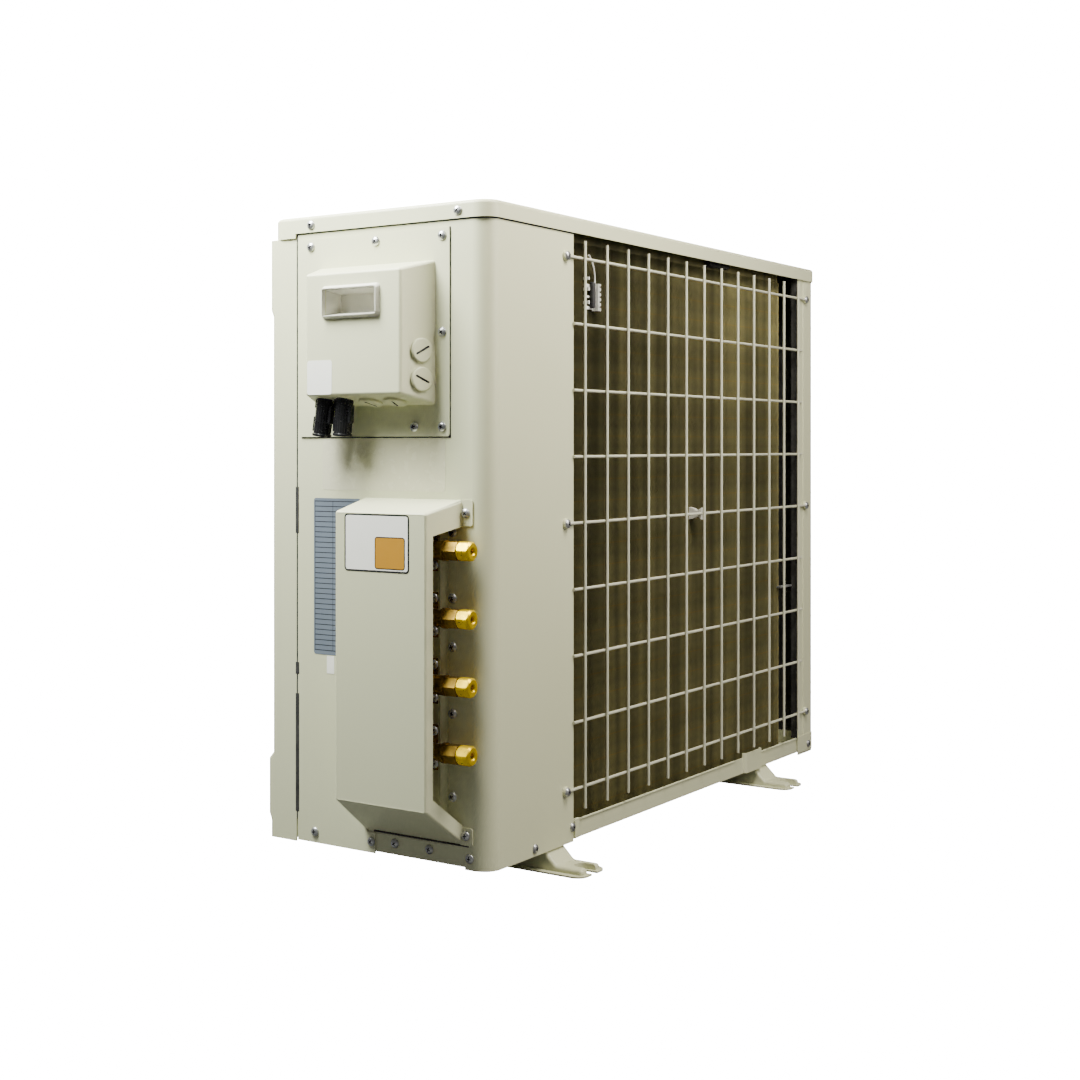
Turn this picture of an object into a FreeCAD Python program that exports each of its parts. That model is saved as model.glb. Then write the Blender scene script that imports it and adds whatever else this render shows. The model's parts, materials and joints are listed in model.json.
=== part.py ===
"""Two-zone mini-split outdoor unit, a parametric FreeCAD model.

Millimetres. +X is the service side with the valves, +Y the coil side, +Z up. Sizes here are
taken from the middle of the case; the files are written with the origin under the middle of
the overall box, on the floor that the feet stand on.
"""
import math
import os
import re

import FreeCAD
import Part
import Sketcher
from FreeCAD import Placement, Rotation, Vector

doc = FreeCAD.newDocument("outdoor_unit")
sheet = doc.addObject("Spreadsheet::Sheet", "dims")

# ---------------------------------------------------------------- driving dimensions
DIMENSIONS = {
    # case
    "case_width": 845, "over_depth": 363, "total_height": 702, "case_depth": 292,
    "rear_overhang": 45, "skin": 1.5, "corner_radius": 20, "post_radius": 9, "seam_gap": 2,
    # top cover
    "lid_lap": 2, "lid_skirt": 18, "lid_lip": 5, "lid_setback": 5, "lid_edge_radius": 4,
    # front panel
    "front_return": 41, "front_toe": 38, "front_relief": 6, "low_band_bottom": 46, "low_band_top": 107,
    "high_band_bottom": 602, "band_slope": 7, "panel_foot_drop": 4,
    # base pan and feet
    "foot_height": 24, "pan_rim": 20, "foot_spacing": 540, "foot_shift": 18,
    "foot_width": 56, "foot_brim": 8, "foot_sheet": 2, "toe_rise": 8, "toe_slope": 16,
    "foot_slot": 11, "front_slot_length": 18, "slot_edge": 11,
    "rear_rib_reach": 5, "pan_bulge": 4, "pan_tab_width": 54, "pan_tab_rise": 6, "pan_tab_offset": 215,
    # right side panel
    "rear_strip": 168, "hook_height": 18, "hook_reach": 3, "lip_width": 10,
    "notch_front": 22, "notch_rear": 86, "notch_top": 392, "low_notch_rear": 107,
    "low_notch_front": 7,
    # left side panel
    "post_width": 54, "window_margin": 30, "window_rear": 61,
    # rear guard
    "wire_radius": 1.7, "guard_left_gap": 66.5, "guard_pitch_z": 72.3, "guard_first_z": 79,
    "guard_right_gap": 184.5, "guard_overrun": 19, "guard_rows": 9, "guard_columns": 13,
    # coil
    "coil_thickness": 22, "coil_bend": 88, "coil_setback": 14, "coil_side_gap": 20,
    "coil_side_run": 215, "tube_radius": 4, "sheet_lap": 6, "fin_pitch": 8.4, "fin_reach": 4,
    "fin_sheet": 0.8, "clip_width": 8, "clip_reach": 7.5, "sensor_height": 29, "sensor_drop": 80,
    # electrical cover
    "cover_front": 108, "cover_rear": 89, "cover_height": 214, "cover_drop": 26,
    "box_depth": 42, "box_face_front": 67, "box_face_rear": 56, "box_inset": 43,
    "side_draft": 15.5, "flat_draft": 10.5, "cover_edge": 3.5,
    # handle cup
    "handle_width": 76, "handle_height": 35, "handle_rise": 5, "handle_depth": 24,
    "handle_mid_y": 7, "handle_drop": 31, "handle_wall": 2, "handle_draft": 4,
    # plugs and cable sleeves
    "plug_radius": 12.5, "plug_head": 3.5, "plug_neck": 9.5, "plug_pitch": 29.5,
    "plug_slot": 2.2, "plug_sink": 6, "sleeve_radius": 9.8, "sleeve_length": 40, "sleeve_bore": 5.5,
    # valve cover
    "valve_cover_front": 22, "valve_cover_rear": 93, "valve_cover_bottom": 86,
    "valve_cover_top": 385, "valve_cover_depth": 50, "valve_top_draft": 12.5,
    "valve_bottom_draft": 39, "valve_rear_draft": 12, "valve_lip": 10,
    # valves
    "valve_pitch": 68, "first_valve_z": 143, "valve_reach": 22, "valve_body_radius": 9,
    "nut_flats": 19, "valve_flats": 18.4, "nut_length": 15, "nut_end_inset": 5, "pipe_radius": 3.3,
    "thread_radius": 6.6, "fit_gap": 0.3, "bracket_y": 70.5, "line_y": 52, "valve_ear": 3.4,
    # fan
    "fan_radius": 212, "fan_tip_gap": 7, "fan_mid_x": 140, "fan_mid_z": 355,
    "hub_radius": 58, "hub_length": 62, "blade_root_pitch": 34, "blade_tip_pitch": 19,
    "blade_chord": 176, "blade_thickness": 3, "fan_back": 12, "shaft_radius": 5,
    "ring_length": 62, "ring_flare": 10, "grille_rings": 11, "grille_bar": 3.2,
    "grille_depth": 5, "grille_hub": 52, "grille_ribs": 12, "grille_gap": 12,
    "motor_radius": 52, "motor_length": 66, "bracket_width": 96,
    # compressor side
    "partition_x": 122, "partition_bow": 45, "compressor_radius": 58,
    "compressor_height": 252, "compressor_x": 262, "compressor_y": 26,
    "accumulator_radius": 30, "accumulator_height": 150, "grommet_radius": 15,
    "grommet_height": 22, "stud_radius": 4, "pipe_outer": 6,
    "board_box_height": 92, "board_box_drop": 118,
    # screws
    "screw_head": 3.9, "screw_rise": 2.3, "screw_shank": 1.9, "screw_length": 9,
    "hole_gap": 0.1,
}
for row, (alias, number) in enumerate(DIMENSIONS.items(), start=1):
    sheet.set(f"A{row}", alias)
    sheet.set(f"B{row}", str(number))
    sheet.setAlias(f"B{row}", alias)

# sizes that follow the ones above: the wire pitch fills the back, the covers hang from the lid
FOLLOWING = {
    "guard_start_x": "case_width / 2 - guard_right_gap",
    "guard_pitch_x": "(case_width - guard_right_gap - guard_left_gap) / (guard_columns - 1)",
    "cover_top": "total_height - cover_drop",
    "cover_bottom": "total_height - cover_drop - cover_height",
    "box_face_top": "total_height - cover_drop - box_inset",
    "box_face_bottom": "total_height - cover_drop - cover_height + box_inset",
    "handle_mid_z": "total_height - cover_drop - box_inset - handle_drop",
    "board_box_bottom": "total_height - lid_skirt - board_box_drop",
}
for row, (alias, text) in enumerate(FOLLOWING.items(), start=len(DIMENSIONS) + 1):
    sheet.set(f"A{row}", alias)
    sheet.set(f"B{row}", f"={text}")
    sheet.setAlias(f"B{row}", alias)
doc.recompute()

ALIAS = re.compile(r"\b(" + "|".join([*DIMENSIONS, *FOLLOWING]) + r")\b")

# places that several pieces share, written from the driving dimensions
SIDE = "(case_width / 2)"
BACK = "(over_depth / 2 - rear_overhang)"
FRONT = f"({BACK} - case_depth)"
SEAM = f"({FRONT} + front_return)"
LID_BOTTOM = "(total_height - lid_skirt)"
PAN_TOP = "(foot_height + pan_rim)"
FLOOR = "(foot_height + skin)"


def sheet_text(text):
    """The expression with every alias pointed at the sheet."""
    return ALIAS.sub(r"dims.\1", str(text))


def value(text):
    """The present number behind an expression."""
    return float(sheet.evalExpression(sheet_text(text)))


def bind(obj, prop, text):
    """Drive a property from the sheet."""
    obj.setExpression(prop, sheet_text(text))


def negative(text):
    return f"(-({text}))"


# ---------------------------------------------------------------- sketches and bodies
class Piece:
    """A PartDesign body whose sketches and features are bound to the sheet."""

    def __init__(self, name):
        self.body = doc.addObject("PartDesign::Body", name)
        self.body.Label = name
        self.count = 0

    def feature(self, kind):
        self.count += 1
        return self.body.newObject(kind, f"{self.body.Label}_{kind.split('::')[1]}{self.count}")

    def sketch(self, plane, level="0", turn=None):
        """A sketch on an origin plane, raised along that plane's own normal."""
        sketch = self.feature("Sketcher::SketchObject")
        origin = [f for f in self.body.Origin.OriginFeatures if f.Role == plane + "_Plane"][0]
        sketch.AttachmentSupport = [(origin, "")]
        sketch.MapMode = "FlatFace"
        bind(sketch, ".AttachmentOffset.Base.z", level)
        return sketch

    def pad(self, sketch, length, back=False, both=False, cut=False):
        kind = "PartDesign::Pocket" if cut else "PartDesign::Pad"
        pad = self.feature(kind)
        pad.Profile = sketch
        pad.Type = "Length"
        pad.SideType = "Symmetric" if both else "One side"
        pad.Reversed = back
        bind(pad, "Length", length)
        sketch.Visibility = False
        doc.recompute()
        return pad

    def cut(self, sketch, length, back=False, both=False):
        return self.pad(sketch, length, back, both, cut=True)

    def revolve(self, sketch, axis="V_Axis", cut=False):
        turn = self.feature("PartDesign::Groove" if cut else "PartDesign::Revolution")
        turn.Profile = sketch
        turn.ReferenceAxis = (sketch, [axis])
        turn.Angle = 360
        doc.recompute()
        return turn

    def loft(self, sketches, cut=False):
        loft = self.feature("PartDesign::SubtractiveLoft" if cut else "PartDesign::AdditiveLoft")
        loft.Profile = sketches[0]
        loft.Sections = sketches[1:]
        doc.recompute()
        return loft

    def wedge(self, level, near, far, depth, cut=False):
        """A tapering block along +X from one rectangle (y0, z0, y1, z1) to another."""
        wedge = self.feature("PartDesign::SubtractiveWedge" if cut else "PartDesign::AdditiveWedge")
        origin = [f for f in self.body.Origin.OriginFeatures if f.Role == "YZ_Plane"][0]
        wedge.AttachmentSupport = [(origin, "")]
        wedge.MapMode = "FlatFace"
        wedge.AttachmentOffset = Placement(Vector(), Rotation(Vector(1, 0, 0), 90))
        bind(wedge, ".AttachmentOffset.Base.z", level)
        sizes = {"Ymin": "0", "Ymax": depth}
        for mark, (y0, z0, y1, z1) in (("", near), ("2", far)):
            sizes.update({f"X{mark}min": y0, f"X{mark}max": y1, f"Z{mark}min": negative(z1),
                          f"Z{mark}max": negative(z0)})
        for prop, text in sizes.items():
            setattr(wedge, prop, value(text))
            bind(wedge, prop, text)
        doc.recompute()
        return wedge

    def fillet(self, radius, test):
        """Round every edge of the present tip that passes the test."""
        tip = self.body.Tip
        names = [f"Edge{i}" for i, edge in enumerate(tip.Shape.Edges, start=1) if test(edge)]
        fillet = self.feature("PartDesign::Fillet")
        fillet.Base = (tip, names)
        bind(fillet, "Radius", radius)
        doc.recompute()
        return fillet

    def polar(self, features, axis_role, count):
        pattern = self.feature("PartDesign::PolarPattern")
        axis = [f for f in self.body.Origin.OriginFeatures if f.Role == axis_role][0]
        pattern.Originals = features
        pattern.Axis = (axis, [""])
        pattern.Angle = 360
        bind(pattern, "Occurrences", count)
        self.body.Tip = pattern
        doc.recompute()
        return pattern

    def row(self, feature, axis_role, back, count, pitch):
        """Repeat a feature in a straight row."""
        pattern = self.feature("PartDesign::LinearPattern")
        axis = [f for f in self.body.Origin.OriginFeatures if f.Role == axis_role][0]
        pattern.Originals = [feature]
        pattern.Direction = (axis, [""])
        pattern.Reversed = back
        bind(pattern, "Occurrences", count)
        bind(pattern, "Length", f"({count} - 1) * {pitch}")
        self.body.Tip = pattern
        doc.recompute()
        return pattern

    def move(self, x="0", y="0", z="0"):
        for letter, text in zip("xyz", (x, y, z)):
            bind(self.body, f".Placement.Base.{letter}", text)
        doc.recompute()


def fix_point(sketch, geometry, point, u, v):
    """Hold one sketch point at (u, v), both given as expressions."""
    for kind, axis, text in (("DistanceX", -2, u), ("DistanceY", -1, v)):
        if text == "0":
            sketch.addConstraint(Sketcher.Constraint("PointOnObject", geometry, point, axis))
        else:
            number = sketch.addConstraint(
                Sketcher.Constraint(kind, -1, 1, geometry, point, value(text)))
            bind(sketch, f"Constraints[{number}]", text)


def outline(sketch, corners):
    """A closed outline through corners (u, v) or (u, v, radius), all expressions."""
    flat = [Vector(value(c[0]), value(c[1]), 0) for c in corners]
    radii = [value(c[2]) if len(c) > 2 else 0 for c in corners]
    count = len(corners)
    starts, ends, arcs = [], [], {}
    for i, corner in enumerate(flat):
        before = (flat[i - 1] - corner).normalize()
        after = (flat[(i + 1) % count] - corner).normalize()
        if radii[i]:
            half = before.getAngle(after) / 2
            reach = radii[i] / math.tan(half)
            centre = corner + (before + after).normalize() * (radii[i] / math.sin(half))
            arcs[i] = (corner + before * reach, centre, corner + after * reach)
            ends.append(arcs[i][0])
            starts.append(arcs[i][2])
        else:
            ends.append(corner)
            starts.append(corner)
    lines = [sketch.addGeometry(Part.LineSegment(starts[i], ends[(i + 1) % count]), False)
             for i in range(count)]
    for i, corner in enumerate(corners):
        arriving, leaving = lines[i - 1], lines[i]
        if i not in arcs:
            sketch.addConstraint(Sketcher.Constraint("Coincident", arriving, 2, leaving, 1))
            fix_point(sketch, leaving, 1, corner[0], corner[1])
            continue
        first, centre, last = arcs[i]
        middle = centre + (flat[i] - centre).normalize() * radii[i]
        arc = sketch.addGeometry(Part.Arc(first, middle, last), False)
        spin = (first - centre).cross(last - centre).z > 0
        begin, finish = (1, 2) if spin else (2, 1)
        sketch.addConstraint(Sketcher.Constraint("Tangent", arriving, 2, arc, begin))
        sketch.addConstraint(Sketcher.Constraint("Tangent", leaving, 1, arc, finish))
        number = sketch.addConstraint(Sketcher.Constraint("Radius", arc, radii[i]))
        bind(sketch, f"Constraints[{number}]", corner[2])
        mark = sketch.addGeometry(Part.Point(flat[i]), True)
        sketch.addConstraint(Sketcher.Constraint("PointOnObject", mark, 1, arriving))
        sketch.addConstraint(Sketcher.Constraint("PointOnObject", mark, 1, leaving))
        fix_point(sketch, mark, 1, corner[0], corner[1])
    return sketch


def rectangle(sketch, left, bottom, right, top, radius=None):
    corner = [radius] if radius else []
    return outline(sketch, [(left, bottom, *corner), (right, bottom, *corner),
                            (right, top, *corner), (left, top, *corner)])


def ring(sketch, u, v, radius):
    """A circle at (u, v)."""
    circle = Part.Circle(Vector(value(u), value(v), 0), Vector(0, 0, 1), value(radius))
    circle = sketch.addGeometry(circle, False)
    fix_point(sketch, circle, 3, u, v)
    number = sketch.addConstraint(Sketcher.Constraint("Radius", circle, value(radius)))
    bind(sketch, f"Constraints[{number}]", radius)
    return sketch


# ---------------------------------------------------------------- primitives and booleans
TURN = {"Z": Rotation(), "X": Rotation(Vector(0, 1, 0), 90), "Y": Rotation(Vector(1, 0, 0), -90),
        "-Z": Rotation(Vector(1, 0, 0), 180), "-Y": Rotation(Vector(1, 0, 0), 90)}


def place(obj, x, y, z, turn=Rotation()):
    obj.Placement = Placement(Vector(), turn)
    for letter, text in zip("xyz", (x, y, z)):
        bind(obj, f".Placement.Base.{letter}", text)
    return obj


def cylinder(x, y, z, radius, height, axis="Z"):
    rod = doc.addObject("Part::Cylinder", "rod")
    bind(rod, "Radius", radius)
    bind(rod, "Height", height)
    return place(rod, x, y, z, TURN[axis])


def cone(x, y, z, radius, end_radius, height, axis="Z"):
    tip = doc.addObject("Part::Cone", "cone")
    bind(tip, "Radius1", radius)
    bind(tip, "Radius2", end_radius)
    bind(tip, "Height", height)
    return place(tip, x, y, z, TURN[axis])


def box(x, y, z, size_x, size_y, size_z):
    block = doc.addObject("Part::Box", "block")
    bind(block, "Length", size_x)
    bind(block, "Width", size_y)
    bind(block, "Height", size_z)
    return place(block, x, y, z)


def fuse(name, shapes):
    joined = doc.addObject("Part::MultiFuse", name)
    joined.Shapes = shapes
    joined.Label = name
    return joined


def cut(name, base, tools):
    removed = doc.addObject("Part::Cut", name)
    removed.Base = base
    removed.Tool = tools[0] if len(tools) == 1 else fuse("tools", tools)
    removed.Label = name
    return removed


def group(name, shapes):
    """Separate solids that share one node."""
    together = doc.addObject("Part::Compound", name)
    together.Links = shapes
    together.Label = name
    return together


def bent_tube(name, points, radius, bend):
    """A round tube along a path of straight runs with rounded bends."""
    path = doc.addObject("Part::Feature", name + "_path")
    places = [Vector(*(value(c) for c in point)) for point in points]
    edges, start = [], places[0]
    for before, corner, after in zip(places, places[1:], places[2:]):
        into = (before - corner).normalize()
        out = (after - corner).normalize()
        half = into.getAngle(out) / 2
        reach = bend / math.tan(half)
        first, last = corner + into * reach, corner + out * reach
        centre = corner + (into + out).normalize() * (bend / math.sin(half))
        middle = centre + (corner - centre).normalize() * bend
        edges += [Part.makeLine(start, first), Part.Arc(first, middle, last).toShape()]
        start = last
    edges.append(Part.makeLine(start, places[-1]))
    path.Shape = Part.Wire(edges)
    disc = doc.addObject("Part::Circle", name + "_disc")
    disc.Radius = value(radius)
    toward = (places[1] - places[0]).normalize()
    disc.Placement = Placement(places[0], Rotation(Vector(0, 0, 1), toward))
    tube = doc.addObject("Part::Sweep", name)
    tube.Sections = [disc]
    tube.Spine = (path, [f"Edge{i + 1}" for i in range(len(edges))])
    tube.Solid = True
    tube.Frenet = False
    tube.Label = name
    return tube


NODES = []


def keep(node):
    """Put a finished sub-part on the list of files to write."""
    NODES.append(node.body if isinstance(node, Piece) else node)
    return node


HOLES = {}


def screws(places, axis, through):
    """Pan-head screws, heads toward the axis, and their holes in what they pass through."""
    drop = {"X": (1, 0, 0), "Y": (0, 1, 0)}[axis]
    made = []
    for x, y, z in places:
        head = cone(x, y, z, "screw_head", "screw_head * 0.62", "screw_rise", axis)
        start = [f"({c}) - screw_length * {d}" for c, d in zip((x, y, z), drop)]
        shank = cylinder(*start, "screw_shank", "screw_length + screw_rise / 2", axis)
        made.append(fuse("screw", [head, shank]))
        hole = cylinder(*start, "screw_shank + hole_gap", "screw_length + screw_rise", axis)
        for name in through:
            HOLES.setdefault(name, []).append(hole)
    return made


def drill():
    """Cut the screw holes in the finished sub-parts."""
    for index, node in enumerate(NODES):
        name = node.Label
        if name in HOLES:
            node.Label = name + "_blank"
            NODES[index] = cut(name, node, HOLES[name])


# ---------------------------------------------------------------- case
def top_cover():
    piece = Piece("top_cover")
    wide = f"{SIDE} + lid_lap"
    front, rear = f"{FRONT} + lid_setback", f"{BACK} + lid_lap"

    def plan(inset, level):
        sketch = piece.sketch("XY", level)
        round_corner = f"corner_radius - {inset}"
        return outline(sketch, [
            (f"-({wide} - {inset})", f"{front} + {inset}", round_corner),
            (f"{wide} - {inset}", f"{front} + {inset}", round_corner),
            (f"{wide} - {inset}", f"{rear} - {inset}", round_corner),
            (f"-({wide} - {inset})", f"{rear} - {inset}", f"post_radius + lid_lap - {inset}")])
    piece.pad(plan("0", "total_height"), "lid_skirt", back=True)
    lip = piece.sketch("XY", LID_BOTTOM)
    outline(lip, [
        (f"-({wide})", SEAM), (f"-({wide})", front, "corner_radius"),
        (wide, front, "corner_radius"), (wide, SEAM), (f"{wide} - skin", SEAM),
        (f"{wide} - skin", f"{front} + skin", "corner_radius - skin"),
        (f"-({wide} - skin)", f"{front} + skin", "corner_radius - skin"),
        (f"-({wide} - skin)", SEAM)])
    piece.cut(plan("skin", LID_BOTTOM), "lid_skirt - skin", back=True)
    piece.pad(lip, "lid_lip", back=True)
    top = value("total_height")
    piece.fillet("lid_edge_radius", lambda e: abs(e.BoundBox.ZMin - top) < 0.01)
    keep(piece)


def front_panel():
    """Pressed panel with a raised band above and below the fan field."""
    piece = Piece("front_panel")
    top = f"{LID_BOTTOM} - lid_lip"
    bottom = "foot_height - panel_foot_drop"
    shallow, deep = f"{FRONT} + front_relief / 2", f"{FRONT} + front_relief"

    def profile(inset, rear):
        sketch = piece.sketch("YZ")
        return outline(sketch, [
            (rear, f"{bottom} + {inset}"), (f"{shallow} + {inset}", f"{bottom} + {inset}"),
            (f"{shallow} + {inset}", "low_band_bottom - band_slope"),
            (f"{FRONT} + {inset}", "low_band_bottom"), (f"{FRONT} + {inset}", "low_band_top"),
            (f"{deep} + {inset}", "low_band_top + band_slope"),
            (f"{deep} + {inset}", "high_band_bottom - band_slope"),
            (f"{shallow} + {inset}", "high_band_bottom"),
            (f"{shallow} + {inset}", f"{top} - {inset}"), (rear, f"{top} - {inset}")])
    piece.pad(profile("0", SEAM), "case_width", both=True)
    side = value(SIDE)
    front = value(FRONT) + value("front_relief") + 1
    piece.fillet("lid_edge_radius", lambda e: abs(abs(e.BoundBox.Center.x) - side) < 0.01
                 and e.BoundBox.YMax < front and e.BoundBox.ZLength > 1)
    piece.cut(profile("skin", f"{SEAM} + 1"), "case_width - 2 * skin", both=True)
    under = piece.sketch("YZ")
    rectangle(under, f"{shallow} + skin", f"{bottom} - 1", f"{SEAM} + 1", f"{bottom} + 2 * skin")
    piece.cut(under, "case_width - 2 * skin", both=True)
    hole = piece.sketch("XZ", f"-({SEAM})")
    ring(hole, "-fan_mid_x", "fan_mid_z", "fan_radius + fan_tip_gap + ring_flare")
    piece.cut(hole, "front_return + 5", back=True)
    keep(piece)


def side_profile(sign, reach):
    """Plan of a side panel that wraps round its rear corner, as an outline's corners."""
    def x(text):
        return text if sign > 0 else f"-({text})"
    inner = f"{SIDE} - skin"
    bend = "corner_radius" if sign > 0 else "post_radius"
    return [(x(SIDE), f"{SEAM} + seam_gap"), (x(SIDE), BACK, bend),
            (x(f"{SIDE} - {reach}"), BACK), (x(f"{SIDE} - {reach}"), f"{BACK} - skin"),
            (x(inner), f"{BACK} - skin", f"{bend} - skin"), (x(inner), f"{SEAM} + seam_gap")]


def right_side_panel():
    """Wraps from the front seam round the rear corner; cut out for the valves and wiring."""
    piece = Piece("right_side_panel")
    bottom = "foot_height - panel_foot_drop / 2"
    plan = piece.sketch("XY", bottom)
    outline(plan, side_profile(1, "rear_strip"))
    piece.pad(plan, f"total_height - skin - 1 - ({bottom})")
    lip = piece.sketch("XY", PAN_TOP)
    rectangle(lip, f"{SIDE} - skin - lip_width", f"{SEAM} + seam_gap", f"{SIDE} - skin / 2",
              f"{SEAM} + seam_gap + skin")
    piece.pad(lip, f"total_height - skin - 1 - {PAN_TOP}")
    for level in ("first_valve_z + 3 * valve_pitch + hook_height * 2",
                  "first_valve_z + valve_pitch - hook_height"):
        hook = piece.sketch("XY", level)
        rectangle(hook, f"{SIDE} - lip_width", f"{SEAM} - hook_reach", f"{SIDE} - skin - 0.5",
                  f"{SEAM} + seam_gap + skin / 2")
        piece.pad(hook, "hook_height")
    notch = piece.sketch("YZ", f"{SIDE} - 2 * skin - lip_width")
    outline(notch, [("-low_notch_front", f"{bottom} - 1"), ("low_notch_rear", f"{bottom} - 1"),
                    ("low_notch_rear", PAN_TOP), ("notch_rear", PAN_TOP),
                    ("notch_rear", "notch_top"), ("-notch_front + 4", "notch_top"),
                    ("-notch_front + 4", PAN_TOP), ("-low_notch_front", PAN_TOP)])
    piece.cut(notch, "2 * skin + lip_width + 5", back=True)
    window = piece.sketch("YZ", f"{SIDE} - 2 * skin")
    rectangle(window, "-box_face_front", "box_face_bottom + 6", "box_face_rear", "box_face_top",
              "lid_edge_radius * 2")
    piece.cut(window, "2 * skin + 5", back=True)
    keep(piece)


def left_side_panel():
    """Rear-left post and side frame round the coil's air intake."""
    piece = Piece("left_side_panel")
    bottom = "foot_height - panel_foot_drop"
    plan = piece.sketch("XY", bottom)
    outline(plan, side_profile(-1, "post_width"))
    piece.pad(plan, f"total_height - skin - 1 - ({bottom})")
    lip = piece.sketch("XY", PAN_TOP)
    rectangle(lip, f"-({SIDE} - post_width)", f"{BACK} - lip_width",
              f"-({SIDE} - post_width - skin)", f"{BACK} - skin / 2")
    piece.pad(lip, f"total_height - skin - 1 - {PAN_TOP}")
    window = piece.sketch("YZ", f"-({SIDE} + 5)")
    rectangle(window, f"{SEAM} + window_margin", f"{PAN_TOP} + window_margin",
              f"{BACK} - window_rear", f"{LID_BOTTOM} - window_margin", "corner_radius")
    piece.cut(window, "5 + 2 * skin", back=True)
    keep(piece)


def base_pan():
    """Pressed tray with an upturned rim, a coil ledge, compressor pads and drain holes."""
    piece = Piece("base_pan")
    wide, rear = f"{SIDE} - skin", f"{BACK} - skin"
    front = f"{FRONT} + front_relief / 2 + skin + fit_gap"

    def plan(inset, level):
        sketch = piece.sketch("XY", level)
        return rectangle(sketch, f"-({wide} - {inset})", f"{front} + {inset}", f"{wide} - {inset}",
                         f"{rear} - {inset}", f"corner_radius - skin - {inset}")
    piece.pad(plan("0", "foot_height"), "pan_rim")
    piece.cut(plan("skin", PAN_TOP), "pan_rim - skin")
    tab = piece.sketch("XY", "foot_height")
    outline(tab, [
        ("-pan_tab_offset - pan_tab_width / 2", f"{rear} - skin"),
        ("-pan_tab_offset - pan_tab_width / 2", rear, "3"),
        ("-pan_tab_offset - pan_tab_width / 2 + pan_bulge", f"{rear} + pan_bulge", "3"),
        ("-pan_tab_offset + pan_tab_width / 2 - pan_bulge", f"{rear} + pan_bulge", "3"),
        ("-pan_tab_offset + pan_tab_width / 2", rear, "3"),
        ("-pan_tab_offset + pan_tab_width / 2", f"{rear} - skin")])
    piece.pad(tab, "pan_rim + pan_tab_rise")
    pocket = piece.sketch("XY", PAN_TOP + " + pan_tab_rise")
    outline(pocket, [
        ("-pan_tab_offset - pan_tab_width / 2 + skin", f"{rear} - 2 * skin"),
        ("-pan_tab_offset - pan_tab_width / 2 + skin", f"{rear} - skin", "2"),
        ("-pan_tab_offset - pan_tab_width / 2 + pan_bulge + skin / 2", f"{rear} + pan_bulge - skin", "2"),
        ("-pan_tab_offset + pan_tab_width / 2 - pan_bulge - skin / 2", f"{rear} + pan_bulge - skin", "2"),
        ("-pan_tab_offset + pan_tab_width / 2 - skin", f"{rear} - skin", "2"),
        ("-pan_tab_offset + pan_tab_width / 2 - skin", f"{rear} - 2 * skin")])
    piece.cut(pocket, "pan_rim + pan_tab_rise - skin")
    pads = piece.sketch("XY", FLOOR)
    for x, y in COMPRESSOR_FEET:
        ring(pads, x, y, "grommet_radius + 4")
    piece.pad(pads, "skin")
    ledge = piece.sketch("XY", FLOOR)
    rectangle(ledge, f"-({wide} - coil_side_gap - 2 * coil_bend)",
              f"{BACK} - coil_setback - coil_thickness + 4", f"{SIDE} - rear_strip - lip_width",
              f"{BACK} - coil_setback - 4")
    piece.pad(ledge, "pan_rim / 2")
    drains = piece.sketch("XY", "foot_height - 1")
    for k in range(3):
        ring(drains, f"-fan_mid_x + {k - 1} * fan_radius * 0.6", "0", "grommet_radius * 0.7")
    piece.cut(drains, "3 * skin", back=True)
    keep(piece)


def foot_rail(name, x):
    """Pressed rail under the pan whose toes slope down to a brim with the bolt slots."""
    piece = Piece(name)
    end, half = "over_depth / 2", "(foot_width / 2)"
    brim = piece.sketch("XY")
    rectangle(brim, f"-{half}", f"-{end}", half, end, "foot_slot * 1.2")
    piece.pad(brim, "foot_sheet")
    rise = piece.sketch("YZ")
    rib_end = f"{end} - foot_brim / 2"
    rear_top = f"{BACK} - 4 * skin"
    front_top = "front_toe - over_depth / 2"
    outline(rise, [
        (f"-({rib_end})", "foot_sheet / 2"), (rib_end, "foot_sheet / 2"),
        (rib_end, "toe_rise", "4"), (f"{rear_top} + toe_slope", "toe_rise", "6"),
        (rear_top, "foot_height"), (front_top, "foot_height"),
        (f"{front_top} - toe_slope * 0.75", "toe_rise", "4"), (f"-({rib_end})", "toe_rise", "4")])
    piece.pad(rise, "foot_width - 2 * foot_brim", both=True)
    low = value("foot_sheet") + 0.5
    piece.fillet("foot_brim / 2", lambda e: e.BoundBox.XLength < 0.01 and e.BoundBox.ZMin > low
                 and e.BoundBox.YLength > 3)
    valley = piece.sketch("XY", "foot_sheet")
    rectangle(valley, "-foot_slot * 0.85", f"{BACK} + toe_slope + 6", "foot_slot * 0.85",
              f"{end} + 20", "foot_slot * 0.8")
    piece.cut(valley, "foot_height", back=True)
    slots = piece.sketch("XY", "-1")
    rectangle(slots, "-foot_slot / 2", f"{end} - slot_edge - foot_slot", "foot_slot / 2",
              f"{end} + 20", "foot_slot / 2 - 0.01")
    rectangle(slots, "-front_slot_length / 2", f"-({end} - slot_edge + foot_slot / 2)",
              "front_slot_length / 2", f"-({end} - slot_edge - foot_slot / 2)",
              "foot_slot / 2 - 0.01")
    piece.cut(slots, "foot_height", back=True)
    hollow = piece.sketch("XY", "-1")
    rectangle(hollow, f"-({half} - foot_brim - foot_sheet)", f"{front_top} + 4",
              f"{half} - foot_brim - foot_sheet", f"{rear_top} - 4", "foot_slot / 2")
    piece.cut(hollow, "foot_height - foot_sheet + 1", back=True)
    piece.move(x=x)
    keep(piece)


# ---------------------------------------------------------------- guards
GUARD_END = "(guard_start_x - (guard_columns - 1) * guard_pitch_x)"
EYE_X = (f"{GUARD_END} - guard_overrun * 1.6 - screw_head",
         "guard_start_x + guard_overrun * 1.6 + screw_head")


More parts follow.
